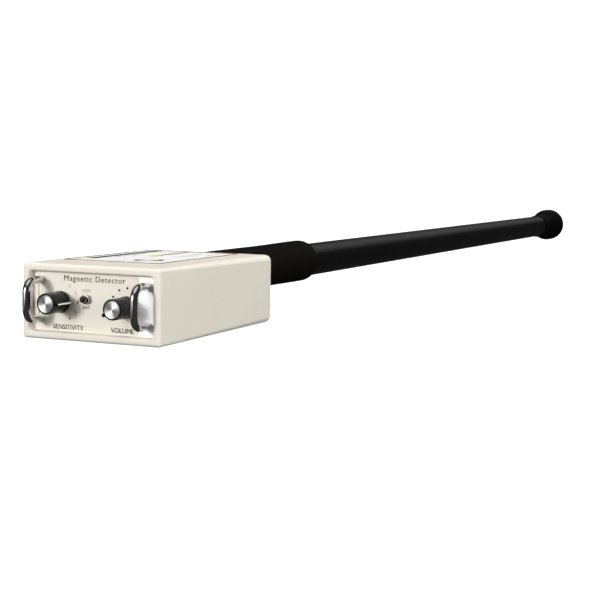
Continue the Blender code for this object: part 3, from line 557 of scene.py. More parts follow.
def label_film():
    film = Finish("label_film", colour(250, 250, 249), 0.3)
    film.mottle(30, colour(243, 243, 240), 0.5)
    film.uneven_gloss(9, 0.05)
    film.grain(0.6, 0.003, detail=2)
    film.set("IOR", 1.15)
    return film


def ink(name, shade):
    print_ink = Finish(name, shade, 0.45)
    lighter = tuple(channel * 0.7 + 0.3 * 0.25 for channel in shade[:3]) + (1,)
    print_ink.mottle(0.5, lighter, 0.18, detail=4)
    print_ink.uneven_gloss(2, 0.06)
    return print_ink


def chrome():
    plating = Finish("chrome_plating", colour(222, 221, 219), 0.07, 1.0)
    plating.mottle(6, colour(206, 203, 198), 0.6)
    plating.uneven_gloss(3, 0.03)
    plating.grain(2.5, 0.006, detail=2)
    return plating


def spun_aluminium():
    metal = Finish("spun_aluminium", colour(228, 228, 227), 0.34, 1.0)
    metal.mottle(4, colour(216, 214, 211), 0.5)
    metal.set("Anisotropic", 0.92)
    metal.set("Anisotropic Rotation", 0.25)
    tangent = metal.node("ShaderNodeTangent", direction_type="RADIAL", axis="Y")
    metal.set("Tangent", tangent.outputs["Tangent"])
    metal.uneven_gloss(3, 0.03)
    return metal


def knob_plastic():
    plastic = Finish("knob_plastic", colour(12, 11, 11), 0.3)
    plastic.mottle(5, colour(18, 17, 16), 0.5)
    plastic.set("Specular IOR Level", 0.15)
    plastic.uneven_gloss(1.5, 0.06)
    plastic.grain(0.35, 0.004)
    plastic.worn_edges(0.2, colour(40, 38, 35), 0.4)
    return plastic


def plated_steel():
    metal = Finish("zinc_plated_steel", colour(186, 186, 181), 0.32, 1.0)
    metal.mottle(2.5, colour(158, 154, 140), 0.6)
    metal.uneven_gloss(1.2, 0.1)
    metal.grain(0.5, 0.006)
    return metal


def lamp_red():
    lens = Finish("lamp_lens", colour(52, 14, 9), 0.12)
    lens.mottle(1.5, colour(34, 10, 7), 0.6)
    lens.set("Transmission Weight", 0.25)
    lens.set("Coat Weight", 0.6)
    lens.uneven_gloss(1, 0.03)
    return lens


def black_tube():
    paint = Finish("black_tube_coat", colour(9, 9, 10), 0.3)
    paint.mottle(40, colour(12, 12, 13), 0.4)
    paint.mottle(1.4, colour(18, 18, 18), 0.2, detail=5)
    paint.set("IOR", 1.22)
    paint.uneven_gloss(12, 0.02)
    paint.grain(0.8, 0.004, detail=2)
    return paint


def grip_rubber():
    foam = Finish("grip_foam_rubber", colour(13, 12, 11), 0.9)
    foam.mottle(14, colour(17, 15, 14), 0.7)
    foam.mottle(0.6, colour(22, 20, 19), 0.4, detail=4)
    foam.grain(1.1, 0.05, detail=4)
    foam.grain(0.4, 0.03, detail=2)
    foam.set("Specular IOR Level", 0.05)
    return foam


def tip_rubber():
    rubber = Finish("tip_rubber", colour(10, 9, 9), 0.6)
    rubber.mottle(9, colour(18, 17, 17), 0.6)
    rubber.mottle(0.9, colour(22, 21, 21), 0.3, detail=5)
    rubber.set("IOR", 1.1)
    rubber.uneven_gloss(5, 0.08)
    rubber.grain(0.5, 0.01)
    return rubber


def board_green():
    board = Finish("board_green", colour(28, 92, 54), 0.4)
    board.mottle(5, colour(20, 74, 42), 0.6)
    tracks = board.node("ShaderNodeTexBrick", {"Vector": board.place, "Scale": 260.0, "Mortar Size": 0.06})
    board.blend_colour(board.math("MULTIPLY", tracks.outputs["Fac"], 0.5), colour(60, 128, 70))
    board.grain(0.4, 0.01)
    return board


def black_plastic():
    plastic = Finish("black_moulding", colour(26, 26, 26), 0.5)
    plastic.mottle(7, colour(34, 33, 32), 0.5)
    plastic.uneven_gloss(2, 0.08)
    plastic.grain(0.3, 0.012)
    return plastic


def battery_case():
    """A dark jacket with a copper-coloured band at the end that carries the studs."""
    case = Finish("battery_case", colour(34, 33, 33), 0.3, 0.3)
    case.mottle(8, colour(44, 42, 40), 0.5)
    whole = case.node("ShaderNodeTexCoord").outputs["Generated"]
    along = case.node("ShaderNodeSeparateXYZ", {0: whole}).outputs["Y"]
    case.blend_colour(case.ramp(along, 0.62, 0.63), colour(196, 130, 62))
    case.uneven_gloss(3, 0.05)
    return case


def copper_winding():
    wire = Finish("copper_winding", colour(184, 104, 62), 0.35, 0.9)
    wire.mottle(3, colour(150, 78, 42), 0.5)
    turns = wire.node("ShaderNodeTexWave", {"Vector": wire.place, "Scale": 400.0},
                      bands_direction="Y").outputs["Fac"]
    wire.bump(turns, 0.1)
    return wire


def paper_cone():
    paper = Finish("paper_cone", colour(40, 37, 34), 0.9)
    paper.mottle(2, colour(54, 50, 46), 0.6, detail=5)
    paper.grain(0.6, 0.05, detail=4)
    return paper


def cable_jacket():
    jacket = Finish("cable_jacket", colour(92, 92, 96), 0.55)
    jacket.mottle(6, colour(78, 78, 82), 0.5)
    jacket.grain(0.8, 0.02)
    return jacket


MATERIALS = {make.__name__: make().material for make in (
    cream_paint, panel_paint, overlay_film, label_film, chrome, spun_aluminium, knob_plastic, plated_steel,
    lamp_red, black_tube, grip_rubber, tip_rubber, board_green, black_plastic, battery_case, copper_winding,
    paper_cone, cable_jacket)}
INK_COLOURS = {
    "black": (34, 30, 26), "worn": (196, 188, 170), "grey": (176, 174, 170), "navy": (16, 16, 30),
    "yellow": (222, 208, 4), "tan": (126, 104, 76), "brown": (88, 68, 52), "white": (245, 243, 238),
}
INKS = {name: ink("ink_" + name, colour(*shade)).material for name, shade in INK_COLOURS.items()}


# Housing

def housing_ring(y, half_x, half_z, radius, middle_z):
    outline = rectangle((0, middle_z), (2 * half_x, 2 * half_z), radius)
    return [Vector((x, y, z)) for x, z in outline]


def housing_rings():
    """The housing as one skin: from its rear face round the outside, over the lip, through the
    recess and the flange, and along the cavity to the inside of the rear wall."""
    half_x, half_z, middle_z = HOUSING.size.x / 2, HOUSING.size.z / 2, HOUSING.middle.z
    rings = []

    def outer(inset, y, radius):
        rings.append(housing_ring(y, half_x - inset, half_z - inset, radius, middle_z))

    for angle in quarter_turn(8):
        inset = REAR_EDGE * (1 - math.sin(angle))
        outer(inset, REAR_Y - REAR_EDGE * (1 - math.cos(angle)), max(REAR_CORNER - inset, LEAST_REAR_CORNER))
    for angle in quarter_turn(8):
        inset = FRONT_EDGE * (1 - math.cos(angle))
        outer(inset, FRONT_Y + FRONT_EDGE * (1 - math.sin(angle)), LONG_EDGE - inset)
    for angle in quarter_turn(4):
        inset = LIP_WIDTH - LIP_EDGE * (1 - math.sin(angle))
        outer(inset, FRONT_Y + LIP_EDGE * (1 - math.cos(angle)), RECESS_CORNER + LIP_WIDTH - inset)
    flange_y = PANEL.high.y + GAP
    outer(LIP_WIDTH, flange_y, RECESS_CORNER)
    opening = (FLANGE_OPENING[0] / 2, FLANGE_OPENING[1] / 2, RECESS_CORNER, middle_z)
    cavity = (half_x - WALL, (CAVITY_TOP - WALL) / 2, RECESS_CORNER, (CAVITY_TOP + WALL) / 2)
    cavity_y = flange_y + FLANGE_THICKNESS
    inner = ((flange_y, opening), (cavity_y, opening), (cavity_y, cavity), (REAR_Y - REAR_WALL, cavity))
    return rings + [housing_ring(y, *shape) for y, shape in inner]


def grille_places():
    """Nineteen holes in rings of one, six and twelve, as (Y, Z) offsets."""
    places = []
    for column in range(-2, 3):
        count = 5 - abs(column)
        for row in range(count):
            places.append((column * GRILLE_PITCH * math.cos(math.radians(30)),
                           (row - (count - 1) / 2) * GRILLE_PITCH))
    return places


def handle_leg_places():
    """Where the legs of both handles meet the panel, as (X, Z): left, then right, lower leg first."""
    return [(handle.middle.x, z) for handle in map(Node, HANDLES)
            for z in (handle.low.z + ROD_RADIUS, handle.high.z - ROD_RADIUS)]


def housing_cutters():
    rear = Vector((TUBE_AXIS_X, REAR_Y, TUBE_AXIS_Z))
    cutters = [cylinder("tube_hole", rear - Vector((0, 2 * REAR_WALL, 0)), rear + Vector((0, REAR_WALL, 0)),
                        TUBE.size.x / 2 + GAP, 64)]
    for x, z in handle_leg_places():
        cutters.append(rod_along(1, "leg_hole", (x, 0, z), PANEL.high.y - MM, PANEL.high.y + 6 * MM,
                                 ROD_RADIUS + GAP, 24))
    left = HOUSING.low.x
    for y, z in grille_places():
        place = (0, SPEAKER.middle.y + y, SPEAKER.middle.z + z)
        cutters.append(rod_along(0, "grille_hole", place, left - WALL, left + 2 * WALL, GRILLE_HOLE, 24))
    half_y, half_z = DOOR_OPENING[0] / 2, DOOR_OPENING[1] / 2
    door_y = DOOR.low.y - GAP + half_y
    cutters.append(block("door_opening", (left - WALL, door_y - half_y, DOOR.middle.z - half_z),
                         (left + 1.5 * WALL, door_y + half_y, DOOR.middle.z + half_z), RECESS_CORNER, 0))
    pocket = Vector((GAP, GAP, 0))
    cutters.append(block("label_pocket", LABEL.low - pocket - Vector((0, 0, GAP - 0.1 * MM)),
                         LABEL.high + pocket + Vector((0, 0, WALL)), RECESS_CORNER, 2))
    for screw in SADDLE_SCREWS:
        cutters.append(rod_along(2, "screw_hole", screw.middle, -WALL, 2 * WALL, SCREW_HOLE, 32))
        cutters.append(placed(screw_seat(3.5 * MM, 0.2 * MM, 48), (screw.middle.x, screw.middle.y, 0)))
    cutters.append(rod_along(2, "lock_screw_access", LOCK_SCREW.middle, -WALL, 2 * WALL, LOCK_SCREW_ACCESS))
    return cutters


def hinge_lugs():
    """The two knuckles inside the wall that hold the ends of the door's hinge pin."""
    axis = HINGE_PIN.middle
    length = 4.0 * MM
    lugs = []
    for side in (-1, 1):
        near = axis.z + side * (HINGE_BARREL_LENGTH / 2 + GAP)
        far = near + side * length
        low_z, high_z = min(near, far), max(near, far)
        lugs.append(rod_along(2, "lug_barrel", axis, low_z, high_z, HINGE_BARREL, 40))
        lugs.append(block("lug_foot", (HOUSING.low.x + 1.5 * MM, axis.y, low_z + 0.01 * MM),
                          (axis.x + HINGE_BARREL, axis.y + 6 * MM, high_z - 0.01 * MM)))
    return lugs


def screw_tab():
    """The tab inside the door's front edge that takes the door screw."""
    z, half = DOOR_SCREW.middle.z, 6 * MM
    front_y = DOOR.low.y - 6.3 * MM
    shelf = block("tab_shelf", (HOUSING.low.x + WALL + 0.4 * MM, front_y, z - half),
                  (HOUSING.low.x + WALL + 2.9 * MM, front_y + 14 * MM, z + half), MM, 0)
    foot = block("tab_foot", (HOUSING.low.x + WALL / 2, front_y + 0.1 * MM, z - half + 0.5 * MM),
                 (HOUSING.low.x + WALL + 2.8 * MM, DOOR.low.y - 0.6 * MM, z + half - 0.5 * MM))
    return [shelf, foot]


def hinge_bore():
    low_z, high_z = HINGE_PIN.middle.z - HINGE_BORE_REACH, HINGE_PIN.middle.z + HINGE_BORE_REACH
    return rod_along(2, "hinge_bore", HINGE_PIN.middle, low_z, high_z, HINGE_BORE, 24)


def housing_shell():
    shell = loft("housing_body", housing_rings())
    shell = combine(shell, housing_cutters(), "DIFFERENCE")
    shell = combine(shell, [*hinge_lugs(), *screw_tab()], "UNION")
    tab_bore = rod_along(0, "tab_bore", DOOR_SCREW.middle, HOUSING.low.x + WALL, HOUSING.low.x + 3 * WALL,
                         2.1 * MM, 24)
    shell = combine(shell, [hinge_bore(), tab_bore], "DIFFERENCE")
    finish_piece(shell, "housing", "cream_paint", ["housing_shell"], weighted=True)


def dial_axes():
    return {name: Node(name + "_inlay").middle for name in POINTERS}


def panel_holes(legs, shaft_hole):
    """The holes for the handles' legs, the dials' shafts and the lamp."""
    holes = [circle(place, ROD_RADIUS + SEAM) for place in legs]
    holes += [circle((axis.x, axis.z), shaft_hole) for axis in dial_axes().values()]
    return [*holes, circle((BEZEL.middle.x, BEZEL.middle.z), BEZEL_HOLE)]


def front_panel():
    """The plate behind the lip; local X and Y are the world's X and Z."""
    snug = 2 * (GAP - SEAM)
    size = (PANEL.size.x + snug, PANEL.size.z + snug)
    edge = rectangle((PANEL.middle.x, PANEL.middle.z), size, RECESS_CORNER)
    panel = plate("control_panel", [edge, *panel_holes(handle_leg_places(), SHAFT_HOLE)], PANEL.size.y)
    placed(panel, (0, PANEL.middle.y, 0), FACING_FRONT)
    finish_piece(panel, "housing", "cream_paint", ["front_panel"], MATERIALS["panel_paint"], weighted=True)


def panel_overlay():
    edge = rectangle((OVERLAY.middle.x, OVERLAY.middle.z), (OVERLAY.size.x, OVERLAY.size.z), MM)
    legs = [place for place in handle_leg_places() if place[0] < 0]
    loops = [edge, *panel_holes(legs, KNOB_CLEARANCE)]
    film = plate("panel_overlay_film", loops, FILM_THICKNESS, 0.03 * MM, 1)
    placed(film, (0, FILM_FRONT + FILM_THICKNESS / 2, 0), FACING_FRONT)
    finish_piece(film, "housing", "overlay_film", ["panel_overlay"], weighted=True)


def on_panel(obj, shade):
    """Lay a flat print on the panel's film."""
    placed(obj, (0, FILM_FRONT - INK_THICKNESS / 2, 0), FACING_FRONT)
    finish_piece(obj, "housing", "overlay_film", material=INKS[shade])


def panel_words(name, words, height, shade, spacing=1.0):
    """Words on the panel, each at a place of its own, with capitals of this height."""
    on_panel(lettering(name, words, height * TEXT_SCALE, spacing), shade)


def dial_place(axis, degrees):
    """A place on a dial's scale, so many degrees anticlockwise from its right."""
    angle = math.radians(degrees)
    return (axis.x + DIAL_SCALE_RADIUS * math.cos(angle), axis.z + DIAL_SCALE_RADIUS * math.sin(angle))


def panel_print():
    """Dial numbers, level dots, plain function words, and painted shade lines where the film's edges show.
    """
    axes = dial_axes()
    sensitivity, volume = axes["sensitivity"], axes["volume"]
    lamp = BEZEL.middle
    title_z = OVERLAY.high.z - 2.3 * MM
    caption_z = OVERLAY.low.z + 0.7 * MM
    panel_words("panel_title", [("Magnetic Detector", (0.4 * MM, title_z))], 3.45 * MM, "black", 1.14)
    captions = [("SENSITIVITY", (sensitivity.x + 4.3 * MM, caption_z)),
                ("VOLUME", (volume.x - 3.3 * MM, caption_z))]
    panel_words("dial_captions", captions, 2.9 * MM, "black", 0.98)
    panel_words("lamp_caption_upper", [("LOW", (lamp.x, lamp.z + 4.7 * MM))], 1.9 * MM, "worn")
    panel_words("lamp_caption_lower", [("BAT", (lamp.x, lamp.z - 5.0 * MM))], 1.8 * MM, "black")
    scale = (("scale_numbers_worn", "worn", (1, 2, 3)), ("scale_numbers", "black", (4, 5, 6)))
    for name, shade, numbers in scale:
        words = [(str(number), dial_place(sensitivity, FIRST_NUMBER - DIAL_STEP * (number - 1)))
                 for number in numbers]
        panel_words(name, words, 2.2 * MM, shade)
    places = [dial_place(volume, FIRST_DOT - DIAL_STEP * step) for step in range(8)]
    dots = [plate("dot", [circle(place, DOT_RADIUS, 24)], INK_THICKNESS)
            for place in places if place[0] < OVERLAY.high.x - MM]
    on_panel(merged("volume_dots", dots), "black")
    low, high = OVERLAY.low.z + 0.2 * MM, OVERLAY.high.z - 0.2 * MM
    legs = [z for x, z in handle_leg_places() if x < 0]
    clear = ROD_RADIUS + 0.1 * MM
    left_x, right_x = OVERLAY.low.x + 1.6 * MM, OVERLAY.high.x - 0.3 * MM
    # Painted shade: thin dark lines inked where the film's edges show, browner between the left handle's
    # legs and grey elsewhere
    lines = (("painted_edge_shade_lower", "grey", left_x, low, legs[0] - clear, 0.48),
             ("edge_line", "brown", left_x, legs[0] + clear, legs[1] - clear, 0.48),
             ("painted_edge_shade_upper", "grey", left_x, legs[1] + clear, high, 0.48),
             ("painted_edge_shade_right", "grey", right_x, low, high, 0.2))
    for name, shade, x, start, end, width in lines:
        on_panel(plate(name, [bar((x, start), (x, end), width * MM)], INK_THICKNESS), shade)


def label_piece(name, loops, thickness, shade):
    """A flat print, or a thin frame, that lies on the top label."""
    piece = placed(plate(name, loops, thickness), (0, 0, LABEL.high.z + thickness / 2))
    finish_piece(piece, "housing", "label_film", material=INKS[shade])


def bar(start, end, width):
    """A thin straight bar between two places on a plane."""
    start, end = Vector(start), Vector(end)
    across = (end - start).orthogonal().normalized() * width / 2
    return [start + across, start - across, end - across, end + across]


def label_place(x, y):
    """A place on the label, in millimetres right of the housing's middle and behind its front."""
    return (x * MM, FRONT_Y + y * MM)


def top_label():
    middle = (LABEL.middle.x, LABEL.middle.y)
    inset, line = 0.05 * MM, 0.7 * MM

    def outline(margin):
        size = (LABEL.size.x - 2 * margin, LABEL.size.y - 2 * margin)
        return rectangle(middle, size, RECESS_CORNER - margin)

    film = plate("top_label_film", [outline(0)], LABEL.size.z, 0.05 * MM, 1)
    placed(film, (0, 0, LABEL.middle.z))
    finish_piece(film, "housing", "label_film", ["top_label"], weighted=True)
    label_piece("label_border", [outline(inset), outline(inset + line)], LABEL_FRAME, "tan")
    for name, rule in LABEL_RULES.items():
        label_rule(name, *rule)
    half = ARROW_HALF_WIDTH
    for name, (x, tip, tail) in LABEL_ARROWS.items():
        arrow = [label_place(x, tip), label_place(x - half, tail), label_place(x + half, tail)]
        label_piece(name, [arrow], INK_THICKNESS, "black")


def label_rule(name, x, start, end, width, shade, dashes):
    """A row of dashes running back from the panel, like a line of small print."""
    parts = []
    while start < end - 1:
        stop = min(start + dashes[len(parts) % len(dashes)], end)
        dash = bar(label_place(x, start), label_place(x, stop), width * MM)
        parts.append(plate(name, [dash], INK_THICKNESS))
        start = stop + LABEL_DASH_GAP
    rule = placed(merged(name, parts), (0, 0, LABEL.high.z + 0.5 * INK_THICKNESS))
    finish_piece(rule, "housing", "label_film", material=INKS[shade])


# Guard handles

def guard_handle(name):
    handle = Node(name)
    bend_y = handle.low.y + ROD_RADIUS + HANDLE_BEND
    low, high = handle.low.z + ROD_RADIUS, handle.high.z - ROD_RADIUS
    path = [(handle.high.y, low)]
    for start, centre_z in ((270, low + HANDLE_BEND), (180, high - HANDLE_BEND)):
        for i in range(17):
            angle = math.radians(start - 90 * i / 16)
            path.append((bend_y + HANDLE_BEND * math.cos(angle), centre_z + HANDLE_BEND * math.sin(angle)))
    path.append((handle.high.y, high))
    rod = sweep(name + "_rod", [Vector((handle.middle.x, y, z)) for y, z in path], ROD_RADIUS)
    finish_piece(rod, "housing", "chrome", [name])


# Dials

def knob(name, pointer):
    """A dial, made facing local +Z with its pointer on +X: knob, pointer line and inlay."""
    node = Node(name + "_knob")
    inlay = Node(name + "_inlay")
    length = node.size.y
    floor = length - inlay.size.y - GAP
    pocket = inlay.size.x / 2 + 0.15 * MM
    hollow, bore, bore_end = 2.7 * MM, 1.9 * MM, 11 * MM
    profile = soften([(0, floor), (pocket, floor), (pocket, length, 0.12 * MM),
                      (KNOB_RADIUS, length, 0.35 * MM), (KNOB_RADIUS, KNOB_SKIRT + 0.3 * MM, 0.3 * MM),
                      (KNOB_SKIRT_RADIUS, KNOB_SKIRT, 0.25 * MM), (KNOB_SKIRT_RADIUS, 0, 0.15 * MM),
                      (KNOB_CLEARANCE, 0), (KNOB_CLEARANCE, hollow), (bore, hollow), (bore, bore_end),
                      (0, bore_end)])
    body = turned(name + "_knob_body", profile)
    rib = block("rib", (pocket + 0.2 * MM, -POINTER_WIDTH / 2, 0.4 * MM),
                (POINTER_REACH, POINTER_WIDTH / 2, length - 0.6 * MM), 0.3 * MM, 1, 0.15 * MM)
    body = combine(body, [rib], "UNION")
    screw_hole = rod_along(1, "screw_hole", (0, 0, 6.8 * MM), 4 * MM, 9 * MM, 1.15 * MM, 32)
    body = combine(body, [screw_hole], "DIFFERENCE")
    turn = FACING_FRONT @ Matrix.Rotation(pointer, 4, "Z")
    back = Vector((inlay.middle.x, node.high.y, inlay.middle.z))
    placed(body, back, turn)
    dial = name + "_dial"
    finish_piece(body, dial, "knob_plastic", [name + "_knob"], weighted=True)
    line = block(name + "_pointer_line", (POINTER_REACH - 0.1 * MM, -0.45 * MM, 0.9 * MM),
                 (POINTER_REACH + 0.03 * MM, 0.45 * MM, length - 1.1 * MM))
    placed(line, back, turn)
    finish_piece(line, dial, "knob_plastic", material=INKS["white"])
    disc = turned(name + "_inlay_disc", inlay_profile(inlay.size.x / 2, inlay.size.y))
    placed(disc, (inlay.middle.x, inlay.high.y, inlay.middle.z), FACING_FRONT)
    finish_piece(disc, dial, "spun_aluminium", [name + "_inlay"])


def inlay_profile(radius, thickness):
    """A disc with a bright chamfered rim and fine turning grooves across its face."""
    face = thickness - 0.06 * MM
    pitch, groove = 0.4 * MM, 0.012 * MM
    points = [(0, 0), (radius, 0), (radius, thickness - 0.25 * MM), (radius - 0.25 * MM, thickness),
              (radius - 0.4 * MM, face)]
    count = int((radius - 0.5 * MM) / pitch)
    for i in range(count):
        outer = (count - i) * pitch
        points.append((outer, face))
        points.append((outer - pitch / 2, face - groove))
    points.append((0, face))
    return points[::-1]


# Low battery light

def low_battery_lamp():
    """The domed lens in its chrome bezel, at the panel."""
    bore, rim = 1.9 * MM, BEZEL.size.x / 2
    front, back = 1.5 * MM, 0.3 * MM
    barrel_end = -4.3 * MM
    seat = BEZEL.low.y + front
    profile = soften([(bore, front, 0.15 * MM), (rim, front, 0.55 * MM), (rim, back), (2.3 * MM, back),
                      (2.3 * MM, barrel_end), (bore, barrel_end)], closed=True)
    bezel = placed(turned("lamp_bezel_ring", profile), (BEZEL.middle.x, seat, BEZEL.middle.z), FACING_FRONT)
    finish_piece(bezel, "housing", "chrome", ["lamp_bezel"])
    head, stem = 2.1 * MM, 1.6 * MM
    base = front + GAP
    top = seat - LENS.low.y
    dome = [(head * math.cos(a), top - head + head * math.sin(a))
            for a in (math.radians(90 - 7.5 * i) for i in range(13))]
    dome[0] = (0, top)
    stem_end = seat - LENS.high.y
    profile = [*dome, (head, base), (stem, base), (stem, stem_end), (0, stem_end)]
    lens = placed(turned("lamp_lens_dome", profile, 64), (LENS.middle.x, seat, LENS.middle.z), FACING_FRONT)
    finish_piece(lens, "housing", "lamp_red", ["lamp_lens"])


# Battery bay

def battery_door():
    axis, screw = HINGE_PIN.middle, DOOR_SCREW.middle
    outer, inner = DOOR.low.x, DOOR.low.x + WALL - 0.15 * MM
    rear_y = axis.y - 2.9 * MM
    door = block("battery_door_panel", (outer, DOOR.low.y, DOOR.low.z), (inner, rear_y, DOOR.high.z),
                 RECESS_CORNER, 0, 0.25 * MM)
    half = HINGE_BARREL_LENGTH / 2
    tongue = block("tongue", (axis.x - 0.2 * MM, axis.y - 4.2 * MM, axis.z - half),
                   (axis.x + 1.5 * MM, axis.y - 0.2 * MM, axis.z + half))
    barrel = rod_along(2, "barrel", axis, axis.z - half, axis.z + half, HINGE_BARREL)
    door = combine(door, [tongue, barrel], "UNION")
    into_wall = Matrix.Rotation(math.radians(90), 4, "Y")
    seat = placed(screw_seat(3.9 * MM, 0.15 * MM, 64), (outer, screw.y, screw.z), into_wall)
    screw_bore = rod_along(0, "screw_bore", screw, outer - WALL, outer + 2 * WALL, 1.8 * MM, 32)
    door = combine(door, [hinge_bore(), screw_bore, seat], "DIFFERENCE")
    finish_piece(door, "battery_hatch", "cream_paint", ["battery_door"], weighted=True)


# Tube, grip and tip

def on_tube_axis(name, profile, start_y):
    """A piece turned about the tube's axis, from a place along it towards the tip."""
    return placed(turned(name, profile, 128), (TUBE_AXIS_X, start_y, TUBE_AXIS_Z), FACING_TIP)


def locator_tube():
    length, low_z = TUBE.size.y, TUBE.low.z
    bore, radius = 10.85 * MM, TUBE.size.x / 2
    edge = 0.3 * MM
    profile = soften([(bore, length), (radius, length, edge), (radius, 0, edge), (bore, 0)], closed=True)
    tube = on_tube_axis("sensor_tube", profile, TUBE.low.y)
    lock_hole = rod_along(2, "lock_hole", LOCK_SCREW.middle, low_z - MM, low_z + 3 * MM, 1.8 * MM, 24)
    tube = combine(tube, [lock_hole], "DIFFERENCE")
    finish_piece(tube, "housing", "black_tube", ["locator_tube"], weighted=True)


def grip_sleeve():
    """A slightly uneven foam sleeve, a little thicker above the tube, that swells towards its end."""
    length, shoulder, steepest = GRIP.size.y, 7 * MM, 78
    bore, thicker_above = 12.8 * MM, 0.3 * MM
    end_radius = GRIP.size.x / 2 - thicker_above
    radius = end_radius - 0.6 * MM
    base = length - shoulder * math.sin(math.radians(steepest))
    dome = []
    for i in range(14):
        angle = math.radians(steepest - 6 * i)
        dome.append((bore + (end_radius - bore) * math.cos(angle), base + shoulder * math.sin(angle)))
    body = []
    rings, swell_start = 60, 0.45
    for i in range(rings):
        share = i / (rings - 1)
        swell = max(0.0, (share - swell_start) / (1 - swell_start))
        swell = swell * swell * (3 - 2 * swell)
        body.append((radius + (end_radius - radius) * swell, MM + share * (base - MM)))
    profile = [(bore, dome[0][1]), *dome, *reversed(body[:-1]), (radius - 0.3 * MM, 0.3 * MM),
               (radius - 0.9 * MM, 0), (bore, 0)]
    grip = on_tube_axis("grip_foam", profile, GRIP.low.y)
    for vertex in grip.data.vertices:
        off_axis = math.hypot(vertex.co.x - TUBE_AXIS_X, vertex.co.z - TUBE_AXIS_Z)
        vertex.co.z += thicker_above * (off_axis - bore) / (end_radius - bore)
    finish_piece(grip, "housing", "grip_rubber", ["grip_sleeve"], sharp=50)


def tip_cap():
    """A bumper that flares from a waist, behind a neck and the sleeve that slides over the tube."""
    length, thickness = TIP.size.y, 33.5 * MM
    radius, sleeve, bore = TIP.size.x / 2, 13.7 * MM, 12.8 * MM
    flare, waist = 17.2 * MM, 14.2 * MM
    back = length - thickness
    bore_end = TUBE.high.y - TIP.low.y + 0.5 * MM
    neck = sleeve - 0.5 * MM
    profile = soften([(0, length), (radius, length, 4.5 * MM), (radius, back + 15 * MM, 12 * MM),
                      (flare, back + 5.5 * MM, 14 * MM), (waist, back, 0.8 * MM), (neck, back, 0.2 * MM),
                      (neck, back - 1.3 * MM, 0.2 * MM), (sleeve, back - 1.7 * MM, 0.2 * MM),
                      (sleeve, 0, 0.4 * MM), (bore, 0), (bore, bore_end), (0, bore_end)], steps=10)
    tip = on_tube_axis("tip_bumper", profile, TIP.low.y)
    finish_piece(tip, "housing", "tip_rubber", ["tip_cap"])


# CAD nodes that stay as they are

def dress_cad_nodes():
    """Give every node that is still shown its procedural material."""
    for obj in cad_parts.values():
        for slot in obj.material_slots:
            finish = slot.material.name.split(".")[0]
            if finish in MATERIALS:
                slot.material = MATERIALS[finish]


housing_shell()
front_panel()
panel_overlay()
panel_print()
top_label()
for handle_name in HANDLES:
    guard_handle(handle_name)
for dial_name, rest_pointer in POINTERS.items():
    knob(dial_name, rest_pointer)
low_battery_lamp()
battery_door()
locator_tube()
grip_sleeve()
tip_cap()
dress_cad_nodes()


# Studio

def glowing_paper(name, shade, near_glow):
    """White paper, lit a little from behind and fully so away from the object."""
    paper = Finish(name, (shade, shade, shade, 1), 0.9)
    paper.mottle(400, (shade - 0.02, shade - 0.02, shade - 0.02, 1), 0.5)
    away = paper.node("ShaderNodeVectorMath", {0: paper.place}, operation="LENGTH").outputs["Value"]
    paper.set("Emission Strength", paper.ramp(away, 0.5, 2.5, near_glow, 1.0))
    paper.set("Emission Color", (1, 1, 1, 1))
    paper.set("Specular IOR Level", 0)
    return paper


def studio_floor():
    """A wide sheet of pale paper that lights nothing, so that shadows and blacks stay dark."""
    bm = bmesh.new()
    bmesh.ops.create_grid(bm, x_segments=1, y_segments=1, size=40)
    floor = from_bmesh("studio_floor", bm)
    floor.location.z = -0.2 * MM
    floor.visible_glossy = False
    floor.visible_diffuse = False
    floor.data.materials.append(glowing_paper("studio_paper", 0.4, 0.95).material)


def studio_backdrop():
    """A white surround far away, seen by the camera alone: it neither lights nor shades."""
    reach = SURROUND_RADIUS
    angles = [math.radians(6 * i) for i in range(15)]
    dome = [(math.cos(angle) * reach, math.sin(angle) * reach) for angle in angles]
    backdrop = turned("studio_backdrop", [(0, -1), (reach, -1), *dome, (0, reach)], 48)
    for seen_by in ("visible_diffuse", "visible_glossy", "visible_transmission", "visible_shadow"):
        setattr(backdrop, seen_by, False)
    backdrop.data.materials.append(glowing_paper("backdrop_paper", 0.5, 1.0).material)


def area_light(name, direction, target, distance, size, power):
    """A round soft light that lights matt surfaces; the world's patches make the highlights."""
    data = bpy.data.lights.new(name, "AREA")
    data.shape = "DISK"
    data.size = size
    data.energy = power
    light = collect(name, data)
    light.location = target + direction * distance
    light.rotation_euler = (target - light.location).to_track_quat("-Z", "Y").to_euler()
    light.visible_glossy = False


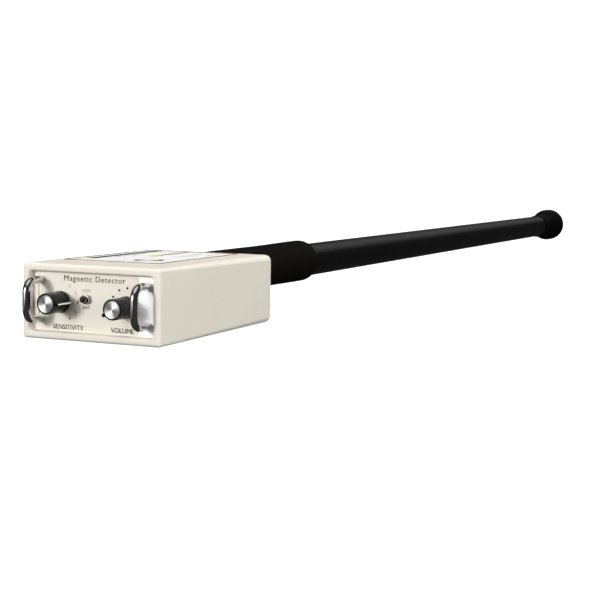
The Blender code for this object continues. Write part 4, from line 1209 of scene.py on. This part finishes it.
def heading(turn, lift):
    """The direction so many degrees to the right of the panel's own and so many up."""
    turn, lift = math.radians(turn), math.radians(lift)
    return Vector((math.sin(turn) * math.cos(lift), -math.cos(turn) * math.cos(lift), math.sin(lift)))


def studio_world():
    """A dim room with soft round patches of light, which are what glossy surfaces mirror."""
    world = bpy.data.worlds.new("studio")
    bpy.context.scene.world = world
    world.use_nodes = True
    room = Nodes(world.node_tree)
    view = room.node("ShaderNodeTexCoord").outputs["Generated"]
    light = ROOM_LIGHT
    for turn, lift, inner, outer, strength in WORLD_PATCHES:
        towards = room.node("ShaderNodeVectorMath", {0: view, 1: heading(turn, lift)},
                            operation="DOT_PRODUCT")
        edges = {"Value": towards.outputs["Value"], "From Min": math.cos(math.radians(outer)),
                 "From Max": math.cos(math.radians(inner)), "To Max": strength}
        patch = room.node("ShaderNodeMapRange", edges, interpolation_type="SMOOTHSTEP")
        light = room.math("ADD", patch.outputs["Result"], light)
    background = room.tree.nodes["Background"].inputs
    room.give(background["Strength"], light)
    room.give(background["Color"], (1, 1, 1, 1))


def studio_light():
    studio_world()
    head = Vector((0, FRONT_Y, HOUSING.middle.z))
    for name, (turn, lift, distance, size, power) in AREA_LIGHTS.items():
        area_light(name, heading(turn, lift), head, distance, size, power)


def camera():
    """A camera beyond the panel's right side, a little above the top, looking back along the tube."""
    yaw, pitch, roll = CAMERA_ANGLES
    ahead = Vector((math.sin(yaw) * math.cos(pitch), math.cos(yaw) * math.cos(pitch), -math.sin(pitch)))
    level = Vector((math.cos(yaw), -math.sin(yaw), 0))
    up = level.cross(ahead)
    right = level * math.cos(roll) + up * math.sin(roll)
    top = up * math.cos(roll) - level * math.sin(roll)
    data = bpy.data.cameras.new("camera")
    data.lens = CAMERA_LENS
    data.sensor_width = CAMERA_SENSOR
    data.clip_start = 0.01
    view = collect("camera", data)
    turn = Matrix((right, top, -ahead)).transposed().to_4x4()
    view.matrix_world = Matrix.Translation(CAMERA_PLACE) @ turn
    bpy.context.scene.camera = view


studio_floor()
studio_backdrop()
studio_light()
camera()
bpy.context.scene.view_settings.view_transform = "Standard"
